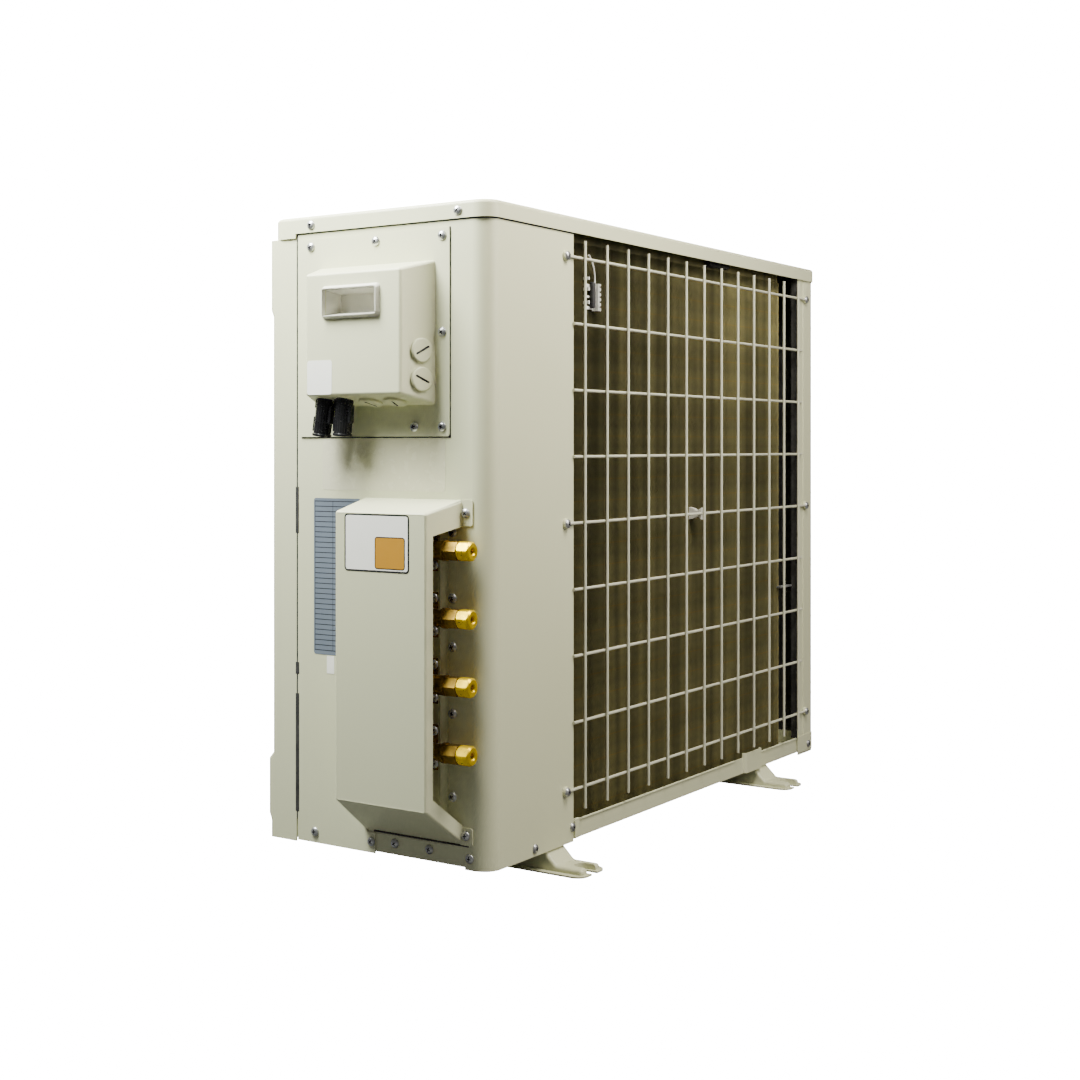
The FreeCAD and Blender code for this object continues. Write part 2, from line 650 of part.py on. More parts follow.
def rear_guard():
    """Welded wire guard: upright wires outside, level wires inside, three with eyelets."""
    wires = []
    level_y = f"{BACK} + wire_radius"
    upright_y = f"{BACK} + 3 * wire_radius"
    foot = "guard_first_z - guard_overrun - 4"
    for k in range(int(value("guard_columns"))):
        wires.append(cylinder(f"guard_start_x - {k} * guard_pitch_x", upright_y, foot,
                              "wire_radius",
                              "(guard_rows - 1) * guard_pitch_z + 2 * guard_overrun + 4"))
    rows = int(value("guard_rows"))
    for k in range(rows):
        height = f"guard_first_z + {k} * guard_pitch_z"
        eyed = k in (0, rows // 2, rows - 1)
        overrun = "guard_overrun * 1.6" if eyed else "guard_overrun"
        wires.append(cylinder(f"{GUARD_END} - {overrun}", level_y, height, "wire_radius",
                              f"(guard_columns - 1) * guard_pitch_x + 2 * {overrun}", "X"))
        if eyed:
            for x in EYE_X:
                eye = cylinder(x, BACK, height, "screw_head * 1.35", "wire_radius * 0.9", "Y")
                way = cylinder(x, f"{BACK} - 1", height, "screw_shank + 0.2", "2 * wire_radius + 2",
                               "Y")
                wires.append(cut("eye", eye, [way]))
    keep(group("rear_guard", wires))


def left_guard():
    """Wire guard across the left air intake, clipped to the frame from inside."""
    wires = []
    front, rear = f"({SEAM} + window_margin)", f"({BACK} - window_rear)"
    bottom, top = f"({PAN_TOP} + window_margin)", f"({LID_BOTTOM} - window_margin)"
    level_x = f"-({SIDE} - skin - 3 * wire_radius)"
    upright_x = f"-({SIDE} - skin - wire_radius)"
    for k in range(4):
        wires.append(cylinder(upright_x, f"{front} + {k + 0.5} * ({rear} - {front}) / 4",
                              f"{bottom} - 8", "wire_radius", f"{top} - {bottom} + 16"))
    for k in range(8):
        wires.append(cylinder(level_x, f"{front} - 8",
                              f"{bottom} + {k + 0.5} * ({top} - {bottom}) / 8", "wire_radius",
                              f"{rear} - {front} + 16", "Y"))
    keep(group("left_guard", wires))


def guard_clip():
    """Bow-tie clip that grips the middle level wire of the guard and rests on the coil."""
    piece = Piece("guard_clip")
    side = piece.sketch("YZ", "guard_start_x - 6 * guard_pitch_x - clip_width / 2")
    z = "guard_first_z + 4 * guard_pitch_z"
    face, wire = f"({BACK} - coil_setback)", f"({BACK} + wire_radius)"
    outer, grip = f"({BACK} + 2 * wire_radius - fit_gap)", "(wire_radius + fit_gap / 2)"
    half = [(face, "clip_reach"), (f"{face} + 6", "clip_reach - 1.5"), (f"{wire} - 5", "3"),
            (outer, "clip_reach"), (outer, grip), (f"{wire} - {grip}", grip)]
    outline(side, [(y, f"{z} + {rise}") for y, rise in half]
            + [(y, f"{z} - ({rise})") for y, rise in reversed(half)])
    piece.pad(side, "clip_width")
    keep(piece)


# ---------------------------------------------------------------- coil
COIL_BACK = f"({BACK} - coil_setback)"
COIL_RIGHT = f"({SIDE} - rear_strip + lip_width)"
COIL_LEFT = f"({SIDE} - coil_side_gap)"
COIL_FOOT = f"({FLOOR} + pan_rim / 2)"
COIL_TOP = f"({LID_BOTTOM} - 6)"


def coil():
    """Finned coil bent round the rear-left corner: thin fins on a closed core."""
    piece = Piece("condenser_coil")
    tall = f"{COIL_TOP} - {COIL_FOOT}"
    front = f"{COIL_BACK} - coil_side_run"
    reach, deep = "fin_reach", "coil_thickness"
    plan = piece.sketch("XY", COIL_FOOT)
    outline(plan, [
        (COIL_RIGHT, f"{COIL_BACK} - {deep} + {reach}"), (COIL_RIGHT, f"{COIL_BACK} - {reach}"),
        (f"-{COIL_LEFT} + {reach}", f"{COIL_BACK} - {reach}", f"coil_bend - {reach}"),
        (f"-{COIL_LEFT} + {reach}", front), (f"-{COIL_LEFT} + {deep} - {reach}", front),
        (f"-{COIL_LEFT} + {deep} - {reach}", f"{COIL_BACK} - {deep} + {reach}",
         f"coil_bend - {deep} + {reach}")])
    piece.pad(plan, tall)
    back = piece.sketch("XY", COIL_FOOT)
    rectangle(back, f"{COIL_RIGHT} - fin_sheet", f"{COIL_BACK} - {deep}", COIL_RIGHT, COIL_BACK)
    run = f"{COIL_RIGHT} + {COIL_LEFT} - coil_bend"
    piece.row(piece.pad(back, tall), "X_Axis", True, f"floor(({run}) / fin_pitch) + 1", "fin_pitch")
    side = piece.sketch("XY", COIL_FOOT)
    rectangle(side, f"-{COIL_LEFT}", front, f"-{COIL_LEFT} + {deep}", f"{front} + fin_sheet")
    piece.row(piece.pad(side, tall), "Y_Axis", False,
              "floor((coil_side_run - coil_bend) / fin_pitch) + 1", "fin_pitch")
    turns = int(value("1.5708 * (coil_bend - coil_thickness / 2) / fin_pitch"))
    bend = piece.sketch("XY", COIL_FOOT)
    for k in range(turns + 1):
        way = 90 + 90 * k / turns
        corners = []
        for radius, half in (("coil_bend - coil_thickness", "-fin_sheet / 2"),
                             ("coil_bend", "-fin_sheet / 2"), ("coil_bend", "fin_sheet / 2"),
                             ("coil_bend - coil_thickness", "fin_sheet / 2")):
            corners.append((
                f"-{COIL_LEFT} + coil_bend + ({radius}) * cos({way}) - ({half}) * sin({way})",
                f"{COIL_BACK} - coil_bend + ({radius}) * sin({way}) + ({half}) * cos({way})"))
        outline(bend, corners)
    piece.pad(bend, tall)
    keep(piece)


def tube_sheets():
    """Galvanised end plates that carry the coil's tubes."""
    deep = "coil_thickness + 2 * sheet_lap"
    tall = f"{COIL_TOP} - {COIL_FOOT}"
    right = box(COIL_RIGHT, f"{COIL_BACK} - coil_thickness - sheet_lap", COIL_FOOT, "skin", deep, tall)
    left = box(f"-({COIL_LEFT} + sheet_lap)", f"{COIL_BACK} - coil_side_run - skin", COIL_FOOT,
               deep, "skin", tall)
    keep(group("tube_sheets", [right, left]))


def hairpin_bends():
    """Copper return bends outside the right tube sheet."""
    bends = []
    pitch = f"(({COIL_TOP} - {COIL_FOOT}) / 12)"
    for k in range(12):
        bend = doc.addObject("Part::Torus", "bend")
        bind(bend, "Radius1", f"{pitch} / 4")
        bind(bend, "Radius2", "tube_radius")
        bend.Angle3 = 180
        place(bend, f"{COIL_RIGHT} + skin", f"{COIL_BACK} - coil_thickness / 2",
              f"{COIL_FOOT} + {k + 0.5} * {pitch}")
        bend.Placement.Rotation = Rotation(Vector(1, 0, 0), 90).multiply(Rotation(Vector(0, 0, 1), -90))
        bends.append(bend)
    keep(group("hairpin_bends", bends))


def coil_sensor():
    """Plastic clip on the coil that holds the temperature sensor's lead."""
    x = "guard_start_x - guard_pitch_x / 2 - 10"
    z = f"{COIL_TOP} - sensor_drop"
    body = box(x, COIL_BACK, z, "18", "5", "sensor_height")
    groove = box(f"{x} + 6", f"{COIL_BACK} + 3", f"{z} - 1", "6", "4", "sensor_height + 2")
    clip = cut("clip", body, [groove])
    lead_y, lead_z = f"{COIL_BACK} + 4.4", f"{COIL_TOP} + 1.8"
    lead = bent_tube("sensor_lead", [
        (f"{x} + 9", lead_y, f"{z} + 4"), (f"{x} + 9", lead_y, lead_z),
        (f"{x} + 9", f"{COIL_BACK} - coil_thickness - 16", lead_z)], "1.3", 4)
    keep(group("coil_sensor", [clip, lead]))


# ---------------------------------------------------------------- service side
def electrical_cover():
    """Drafted box on a flat plate, open to the wiring behind it."""
    piece = Piece("electrical_cover")
    plate = piece.sketch("YZ", SIDE)
    rectangle(plate, "-cover_front", "cover_bottom", "cover_rear", "cover_top", "3")
    piece.pad(plate, "skin")

    def section(spread_y, spread_z, inset):
        return (f"-box_face_front - {spread_y} + {inset}", f"box_face_bottom - {spread_z} + {inset}",
                f"box_face_rear + {spread_y} - {inset}", f"box_face_top + {spread_z} - {inset}")
    piece.wedge(f"{SIDE} + skin / 2", section("side_draft", "flat_draft", "0"),
                section("0", "0", "0"), "box_depth - skin / 2")
    out = value(SIDE) + 2 * value("skin")
    piece.fillet("cover_edge", lambda e: e.BoundBox.XMax > out)
    piece.wedge(f"{SIDE} - 0.01", section("side_draft", "flat_draft", "skin"),
                section("0", "0", "skin"), "box_depth - skin", cut=True)
    grip = piece.sketch("YZ", f"{SIDE} + box_depth - 4 * skin")
    rectangle(grip, "-handle_mid_y - handle_width / 2 + 2 * handle_wall",
              "handle_mid_z - handle_height / 2 + 2 * handle_wall",
              "-handle_mid_y + handle_width / 2 - 2 * handle_wall",
              "handle_mid_z + handle_height / 2 - 2 * handle_wall")
    piece.cut(grip, "6 * skin", back=True)
    bores = piece.sketch("XY", "box_face_bottom - flat_draft - 5")
    for y in SLEEVE_Y:
        ring(bores, SLEEVE_X, y, "sleeve_radius - 0.8")
    piece.cut(bores, "flat_draft + 10", back=True)
    body = piece.body
    holes = [bore(*spot) for spot in PLUGS.values()]
    keep(cut_from_body("electrical_cover", body, holes))


WALL_TILT = "atan(side_draft / (box_depth - skin / 2))"
FLOOR_TILT = "atan(flat_draft / (box_depth - skin / 2))"
SLEEVE_X = f"({SIDE} + 24)"
SLEEVE_Y = ("-54", "-28")


def underside(out):
    """Height of the electrical cover's underside this far out from the case."""
    return f"(box_face_bottom - flat_draft * (box_depth - {out}) / (box_depth - skin / 2))"


# distance out from the case, then where the plug sits along the wall; rear wall or underside
PLUGS = {
    "wall_plug_upper": ("rear", "18", "box_face_bottom + 45"),
    "wall_plug_lower": ("rear", "18", "box_face_bottom + 45 - plug_pitch"),
    "floor_plug_front": ("floor", "19", "2"),
    "floor_plug_rear": ("floor", "19", "2 + plug_pitch + 2"),
}


def plug_place(obj, wall, out, along, sink="0"):
    """Stand an object made along +Z on the rear wall or on the underside, axis outward."""
    if wall == "rear":
        place(obj, f"{SIDE} + {out} - {sink} * sin({WALL_TILT})",
              f"box_face_rear + side_draft * (box_depth - {out}) / (box_depth - skin / 2)"
              f" - {sink} * cos({WALL_TILT})", along)
        obj.Placement.Rotation = Rotation(Vector(0, 0, 1), -value(WALL_TILT)).multiply(
            Rotation(Vector(1, 0, 0), -90))
    else:
        place(obj, f"{SIDE} + {out} - {sink} * sin({FLOOR_TILT})", along,
              f"{underside(out)} + {sink} * cos({FLOOR_TILT})")
        obj.Placement.Rotation = Rotation(Vector(0, 1, 0), -value(FLOOR_TILT)).multiply(
            Rotation(Vector(1, 0, 0), 180))
    return obj


def bore(wall, out, along):
    rod = doc.addObject("Part::Cylinder", "plug_hole")
    bind(rod, "Radius", "plug_neck + fit_gap")
    bind(rod, "Height", "plug_sink + 5")
    return plug_place(rod, wall, out, along, "plug_sink")


def cut_from_body(name, body, tools):
    body.Label = name + "_body"
    return cut(name, body, tools)


def coin_plug(name, turn):
    """Blanking plug with a domed head and a coin slot, turned to lock."""
    piece = Piece(name)
    profile = piece.sketch("XZ")
    outline(profile, [
        ("0", "-plug_sink"), ("plug_neck", "-plug_sink"), ("plug_neck", "fit_gap / 2"),
        ("plug_radius", "fit_gap / 2"), ("plug_radius", "plug_head - 1"),
        ("plug_radius - 1.5", "plug_head"), ("0", "plug_head")])
    piece.revolve(profile)
    slot = piece.sketch("XY", "plug_head + 1")
    rectangle(slot, "-plug_radius * 0.72", "-plug_slot / 2", "plug_radius * 0.72", "plug_slot / 2",
              "plug_slot / 2 - 0.01")
    piece.cut(slot, "2.8")
    plug_place(piece.body, *PLUGS[name])
    piece.body.Placement = piece.body.Placement.multiply(
        Placement(Vector(), Rotation(Vector(0, 0, 1), turn)))
    keep(piece)


def handle_cup():
    """Moulded finger grip whose collar stands proud of the cover's face."""
    piece = Piece("handle_cup")
    face = f"{SIDE} + box_depth + hole_gap"

    def section(inset):
        half_y, half_z = f"(handle_width / 2 - ({inset}))", f"(handle_height / 2 - ({inset}))"
        return (f"-handle_mid_y - {half_y}", f"handle_mid_z - {half_z}",
                f"-handle_mid_y + {half_y}", f"handle_mid_z + {half_z}")

    def slanted(edge):
        return edge.BoundBox.XLength > value("handle_rise") * 0.8
    piece.wedge(face, section("0"), section("handle_draft * 0.6"), "handle_rise")
    piece.fillet("5", slanted)
    lip = value(f"{face} + handle_rise") - 0.01
    piece.fillet("1.2", lambda e: e.BoundBox.XMin > lip)
    piece.wedge(f"{face} - handle_depth", section("handle_wall + handle_draft"),
                section("2 * handle_wall + fit_gap"), "handle_depth + 1")
    piece.wedge(f"{face} - handle_depth + handle_wall", section("2 * handle_wall + handle_draft"),
                section("handle_draft * 0.6 + handle_wall / 2"),
                "handle_depth - handle_wall + handle_rise + 0.01", cut=True)
    keep(piece)


def cable_sleeve(name, y, lean):
    """Ribbed black sleeve that hangs from the electrical cover and takes a cable."""
    piece = Piece(name)
    profile = piece.sketch("XZ")
    rim = "sleeve_radius"
    outline(profile, [
        ("sleeve_bore", "-sleeve_length"), (f"{rim} + 1.5", "-sleeve_length"),
        (f"{rim} + 1.5", "-sleeve_length + 4"), (rim, "-sleeve_length + 6"),
        (rim, "-sleeve_length * 0.45"), (f"{rim} + 1", "-sleeve_length * 0.42"),
        (f"{rim} + 1", "-sleeve_length * 0.32"), (rim, "-sleeve_length * 0.29"),
        (rim, "-sleeve_length * 0.18"), (f"{rim} + 1.5", "-sleeve_length * 0.15"),
        (f"{rim} + 1.5", "-2"), (rim, "0"), (f"{rim} - 2.2", "0"), (f"{rim} - 2.2", "10"),
        ("sleeve_bore", "10")])
    piece.revolve(profile)
    # the level rim hangs just clear of the sloping underside
    drop = "sleeve_radius * (tan(abs({})) + tan({}))".format(lean, FLOOR_TILT)
    place(piece.body, SLEEVE_X, y, f"{underside('24')} - {drop} - fit_gap",
          Rotation(Vector(1, 0, 0), lean))
    keep(piece)


RIB_Y = "(notch_rear - 11.3)"


def valve_plate():
    """Plate behind the panel's notch that carries the valves, with two upright ribs."""
    piece = Piece("valve_plate")
    level = f"{PAN_TOP} + fit_gap"
    face = f"{SIDE} - skin"
    back = piece.sketch("XY", level)
    rectangle(back, f"{SIDE} - 2 * skin", "-notch_front - 12", face, "notch_rear + 12")
    piece.pad(back, f"notch_top + 8 - ({level})")
    # the ribs start above the cover's lower wall
    low = "valve_cover_bottom - valve_bottom_draft + 4 * skin"
    ribs = piece.sketch("XY", low)
    rectangle(ribs, f"{face} - skin / 2", RIB_Y, f"{face} + 2.5", f"{RIB_Y} + 1.8")
    outline(ribs, [
        (f"{face} - skin / 2", "notch_rear - 8.5"), (f"{face} + 3", "notch_rear - 8.5"),
        (f"{face} + 0.4", "notch_rear - 0.2"), (f"{face} - skin / 2", "notch_rear - 0.2")])
    piece.pad(ribs, f"notch_top - 1 - ({low})")
    ways = piece.sketch("YZ", face)
    for k in range(4):
        ring(ways, "line_y", valve_height(k), "pipe_radius + 1")
    piece.cut(ways, "3 * skin")
    keep(piece)


def valve_cover():
    """Pressed cover over the valves, open to the rear where the pipes leave."""
    piece = Piece("valve_cover")

    def section(rear, low, high, inset):
        return (f"-valve_cover_front + {inset}", f"valve_cover_bottom - {low} + {inset}",
                f"valve_cover_rear + {rear} - {inset}", f"valve_cover_top + {high} - {inset}")
    spread = ("valve_rear_draft", "valve_bottom_draft", "valve_top_draft")
    face = f"{SIDE} + valve_cover_depth"
    piece.wedge(SIDE, section(*spread, "0"), section("0", "0", "0", "0"), "valve_cover_depth")
    edge = value(SIDE) + 2
    piece.fillet("cover_edge", lambda e: e.BoundBox.XMax > edge)
    piece.wedge(f"{SIDE} - 0.01", section(*spread, "skin"), section("0", "0", "0", "skin"),
                "valve_cover_depth - skin", cut=True)
    mouth = piece.sketch("XZ", "-(valve_cover_rear - valve_lip)")
    outline(mouth, [(f"{SIDE} - 1", "valve_cover_top - 14"),
                    (f"{face} - valve_lip", "valve_cover_top - 23"),
                    (f"{face} - valve_lip", "valve_cover_bottom + 12"),
                    (f"{SIDE} - 1", "valve_cover_bottom - 21")])
    piece.cut(mouth, "40")
    tabs = piece.sketch("YZ", SIDE)
    near = "valve_cover_rear + valve_rear_draft - 3"
    for low, high in (("valve_cover_top - 14", "valve_cover_top + valve_top_draft"),
                      ("valve_cover_bottom - valve_bottom_draft", "valve_cover_bottom - 21")):
        rectangle(tabs, near, low, "valve_cover_rear + valve_rear_draft + 12", high, "2")
    piece.pad(tabs, "skin")
    keep(piece)


def valve_height(k):
    return f"(first_valve_z + {k} * valve_pitch)"


VALVE_X = f"({SIDE} + valve_reach)"
NUT_END = f"({BACK} - nut_end_inset)"
NUT_START = f"({NUT_END} - nut_length)"


VALVES = ("liquid_valve_b", "gas_valve_b", "liquid_valve_a", "gas_valve_a")
STEM_Y, STEM_REACH, PORT_Y = "40", "(valve_body_radius + 3)", "72"


def service_valve(k):
    """Brass stop valve: flange on the plate, barrel, hex shoulder and flare end."""
    z = valve_height(k)
    face = f"({SIDE} - skin)"
    wide = k % 2 == 1
    radius = "valve_body_radius + 1" if wide else "valve_body_radius"
    barrel = cylinder(VALVE_X, "30", z, radius, f"{NUT_START} - 20 - 30", "Y")
    shoulder = cylinder(VALVE_X, f"{NUT_START} - 20", z, "valve_body_radius + 1.5", "4", "Y")
    neck = Piece(f"valve_hexagon_{k + 1}")
    hexagon(neck.sketch("XZ", "0"), "valve_flats")
    neck.pad(neck.body.Group[-1], "16.5", back=True)
    neck.move(VALVE_X, f"{NUT_START} - 17", z)
    thread = cylinder(VALVE_X, f"{NUT_START} - 2", z, "thread_radius", "nut_length - 4.5", "Y")
    flare = cone(VALVE_X, f"{NUT_END} - 6.5", z, "thread_radius", "pipe_radius * 0.8", "2", "Y")
    boss = cylinder(face, "line_y", z, "valve_body_radius", "valve_reach + skin", "X")
    stem = cylinder(VALVE_X, STEM_Y, z, "5", STEM_REACH, "X")
    ear = box(face, "44", f"{z} - 23", "valve_ear", f"{RIB_Y} - fit_gap - 44", "46")
    parts = [barrel, shoulder, neck.body, thread, flare, boss, stem, ear]
    if wide:
        parts.append(cylinder(VALVE_X, PORT_Y, f"{z} + 5", "4", "valve_body_radius + 4"))
    way = cylinder(VALVE_X, f"{NUT_START} - 8", z, "pipe_radius * 0.72", "nut_length + 1.5", "Y")
    keep(cut(VALVES[k], fuse("valve_solid", parts), [way]))


def hexagon(sketch, flats):
    """A hexagon round the origin with its flats this far apart."""
    corner = f"({flats}) / sqrt(3)"
    points = []
    for k in range(6):
        turn = 60 * k
        points.append((f"{corner} * cos({turn})", f"{corner} * sin({turn})"))
    points[0] = (corner, "0")
    points[3] = (f"-{corner}", "0")
    return outline(sketch, points)


def flare_nut(k):
    """Hex flare nut: through hole for the pipe, counterbore over the valve's thread."""
    piece = Piece(f"flare_nut_{k + 1}")
    hexagon(piece.sketch("XZ", "0"), "nut_flats")
    piece.pad(piece.body.Group[-1], "nut_length", back=True)
    trim = piece.sketch("YZ")
    corner = "nut_flats / sqrt(3)"
    outline(trim, [("-1", f"{corner} - 2.6"), ("-1", f"{corner} + 3"), ("nut_length + 1", f"{corner} + 3"),
                   ("nut_length + 1", f"{corner} - 3.6"), ("nut_length - 2", f"{corner} - 0.6"),
                   ("1.6", f"{corner} - 0.6")])
    piece.revolve(trim, "H_Axis", cut=True)
    bore_line = piece.sketch("YZ")
    outline(bore_line, [
        ("-1", "0"), ("-1", "thread_radius + fit_gap"),
        ("nut_length - 5.5", "thread_radius + fit_gap"), ("nut_length - 4", "pipe_radius"),
        ("nut_length - 1.2", "pipe_radius"), ("nut_length + 1", "pipe_radius + 2.2"),
        ("nut_length + 1", "0")])
    piece.revolve(bore_line, "H_Axis", cut=True)
    piece.move(VALVE_X, NUT_START, valve_height(k))
    keep(piece)


def valve_caps():
    """Stem caps on every valve, and the charging ports' caps on the two gas valves."""
    caps = [cylinder(f"{VALVE_X} + {STEM_REACH}", STEM_Y, valve_height(k), "8", "11", "X")
            for k in range(4)]
    caps += [cylinder(VALVE_X, PORT_Y, f"{valve_height(k)} + valve_body_radius + 9", "6", "12")
             for k in (1, 3)]
    keep(group("valve_caps", caps))


# ---------------------------------------------------------------- fan side
FAN_X = "(-fan_mid_x)"
OPENING = "(fan_radius + fan_tip_gap)"
PANEL_BACK = f"({FRONT} + front_relief + skin)"
FAN_Y = f"({PANEL_BACK} + fan_back + hub_length / 2)"


def fan_ring():
    """Bell-mouthed ring behind the opening that the fan tips run in."""
    piece = Piece("fan_ring")
    profile = piece.sketch("YZ")
    mouth = f"{OPENING} + ring_flare"
    outline(profile, [
        ("0", f"{mouth} + 14"), ("0", f"{mouth} - 1"), ("ring_flare", OPENING, "6"),
        ("ring_length", OPENING), ("ring_length", f"{OPENING} + skin"),
        ("ring_flare + skin", f"{OPENING} + skin", "5"), ("skin", f"{mouth} + 1"),
        ("skin", f"{mouth} + 14")])
    piece.revolve(profile, "H_Axis")
    piece.move(FAN_X, PANEL_BACK, "fan_mid_z")
    keep(piece)


def fan_grille():
    """Front grille: concentric bars on radial ribs, with a plain hub disc."""
    piece = Piece("fan_grille")
    rim = f"({OPENING} + ring_flare + 8)"
    rib = piece.sketch("XZ")
    rectangle(rib, "-grille_bar * 0.7", "grille_hub - 2", "grille_bar * 0.7", f"{rim} - 1")
    first = piece.pad(rib, "grille_depth * 0.6", back=False)
    disc = piece.sketch("XZ")
    ring(disc, "0", "0", "grille_hub")
    piece.pad(disc, "grille_depth")
    piece.polar([first], "Y_Axis", "grille_ribs")
    bars = piece.sketch("YZ")
    count = int(value("grille_rings"))
    for k in range(1, count + 1):
        inner = f"grille_hub + {k} * ({rim} - grille_hub - grille_bar) / {count}"
        width = "grille_bar * 2.5" if k == count else "grille_bar"
        if k == count:
            inner = f"{rim} - grille_bar * 1.5"
        rectangle(bars, "-grille_depth", inner, "-0.01", f"{inner} + {width}")
    piece.revolve(bars, "H_Axis")
    piece.move(FAN_X, f"{FRONT} + front_relief - hole_gap", "fan_mid_z")
    keep(piece)


def blade_section(piece, radius, pitch, chord, camber, sweep):
    """One cross-section of a blade, a thin crescent at this distance from the fan's axis."""
    sketch = piece.sketch("YZ", radius)
    half_y = f"({chord}) / 2 * sin({pitch})"
    half_z = f"({chord}) / 2 * cos({pitch})"
    thick_y = f"blade_thickness * cos({pitch})"
    thick_z = f"blade_thickness * sin({pitch})"
    lead = (f"-{half_y}", f"{sweep} - {half_z}")
    trail = (half_y, f"{sweep} + {half_z}")
    lead_back = (f"-{half_y} + {thick_y}", f"{sweep} - {half_z} - {thick_z}")
    trail_back = (f"{half_y} + {thick_y}", f"{sweep} + {half_z} - {thick_z}")
    bend = f"(({chord}) * ({chord}) / (8 * {camber}) + {camber} / 2)"
    ends = [[Vector(value(u), value(v), 0) for u, v in pair]
            for pair in ((lead, trail), (lead_back, trail_back))]
    bow = Vector(value(f"{camber} * cos({pitch})"), value(f"-{camber} * sin({pitch})"), 0)
    arcs = [sketch.addGeometry(Part.Arc(a, (a + b) / 2 + bow, b), False) for a, b in ends]
    caps = [sketch.addGeometry(Part.LineSegment(ends[0][n], ends[1][n]), False) for n in (0, 1)]
    for arc, (start, end), places in zip(arcs, ends, ((lead, trail), (lead_back, trail_back))):
        order = (1, 2) if (sketch.Geometry[arc].StartPoint - start).Length < 1e-6 else (2, 1)
        for cap, point, spot in zip(caps, order, places):
            sketch.addConstraint(Sketcher.Constraint(
                "Coincident", arc, point, cap, 1 if arc == arcs[0] else 2))
            fix_point(sketch, arc, point, *spot)
        number = sketch.addConstraint(Sketcher.Constraint("Radius", arc, value(bend)))
        bind(sketch, f"Constraints[{number}]", bend)
    return sketch


def fan_blade():
    """Moulded axial fan: three twisted, cambered and swept blades on a hollow hub."""
    piece = Piece("fan_blade")
    hub = piece.sketch("YZ")
    half = "hub_length / 2"
    outline(hub, [
        (f"-{half}", "0"), (f"-{half}", "shaft_radius + 9"), (f"-{half} + 6", "hub_radius - 6"),
        (f"-{half} + 14", "hub_radius", "6"), (half, "hub_radius"), (half, "hub_radius - 3"),
        (f"-{half} + 16", "hub_radius - 4"), (f"-{half} + 10", "shaft_radius + 8"),
        (f"{half} - 12", "shaft_radius + 7"), (f"{half} - 12", "0")])
    piece.revolve(hub, "H_Axis")
    root = "hub_radius - 3"
    middle = "(hub_radius + fan_radius) / 2"
    blade = piece.loft([
        blade_section(piece, root, "blade_root_pitch", "blade_chord * 0.52", "7", "0"),
        blade_section(piece, middle, "(blade_root_pitch + blade_tip_pitch) / 2",
                      "blade_chord * 0.86", "11", "14"),
        blade_section(piece, "fan_radius + 3", "blade_tip_pitch", "blade_chord", "12", "44")])
    piece.polar([blade], "Y_Axis", "3")
    tips = piece.sketch("XZ", "blade_chord")
    ring(tips, "0", "0", "fan_radius")
    ring(tips, "0", "0", "fan_radius + blade_chord")
    piece.cut(tips, "2 * blade_chord")
    bore_hole = piece.sketch("XZ", f"{half} + 1")
    ring(bore_hole, "0", "0", "shaft_radius")
    piece.cut(bore_hole, "hub_length + 2")
    piece.move(FAN_X, FAN_Y, "fan_mid_z")
    keep(piece)


def motor_parts():
    hub_front, hub_rear = f"({FAN_Y} - hub_length / 2)", f"({FAN_Y} + hub_length / 2)"
    motor_y = f"({hub_rear} + 8)"
    keep(group("motor_shaft", [cylinder(FAN_X, f"{hub_front} - 9", "fan_mid_z",
                                        "shaft_radius", f"hub_length + 17 + motor_length - 5", "Y")]))
    piece = Piece("fan_nut")
    hexagon(piece.sketch("XZ"), "17")
    piece.pad(piece.body.Group[-1], "8")
    hole = piece.sketch("XZ", "9")
    ring(hole, "0", "0", "shaft_radius")
    piece.cut(hole, "10")
    piece.move(FAN_X, hub_front, "fan_mid_z")
    keep(piece)

    motor = Piece("fan_motor")
    shell = motor.sketch("YZ")
    gap = "shaft_radius + fit_gap"
    outline(shell, [
        ("0", gap), ("0", "motor_radius * 0.42"), ("6", "motor_radius * 0.42"),
        ("6", "motor_radius * 0.9", "4"), ("14", "motor_radius", "4"),
        ("motor_length - 14", "motor_radius", "6"), ("motor_length", "motor_radius * 0.8"),
        ("motor_length", "0"), ("motor_length - 4", "0"), ("motor_length - 4", gap)])
    motor.revolve(shell, "H_Axis")
    motor.move(FAN_X, motor_y, "fan_mid_z")
    keep(motor)

    bracket = Piece("motor_bracket")
    rear = f"({motor_y} + motor_length)"
    face = bracket.sketch("XZ", f"-({rear})")
    left, right = f"{FAN_X} - bracket_width / 2", f"{FAN_X} + bracket_width / 2"
    rectangle(face, left, FLOOR, right, "total_height - skin - 1")
    bracket.pad(face, "2", back=True)
    for side in (left, f"{right} - 2"):
        flange = bracket.sketch("XZ", f"-({rear})")
        rectangle(flange, side, FLOOR, f"{side} + 2", "total_height - skin - 1")
        bracket.pad(flange, "16", back=True)
    vents = bracket.sketch("XZ", f"-({rear} - 1)")
    for low, high in ((f"{FLOOR} + 30", "fan_mid_z - motor_radius - 30"),
                      ("fan_mid_z + motor_radius + 30", f"{LID_BOTTOM} - 40")):
        rectangle(vents, f"{left} + 18", low, f"{right} - 18", high, "12")
    bracket.cut(vents, "10")
    keep(bracket)


# ---------------------------------------------------------------- compressor side
FEET_RADIUS = "compressor_radius + grommet_radius"
COMPRESSOR_FEET = [(f"compressor_x + ({FEET_RADIUS}) * cos({90 + 120 * k})",
                    f"-compressor_y + ({FEET_RADIUS}) * sin({90 + 120 * k})") for k in range(3)]
OUTLET = "(compressor_radius * 0.66)"
PAD_TOP = f"({FLOOR} + skin)"
PLATE_Z = f"({PAD_TOP} + grommet_height)"


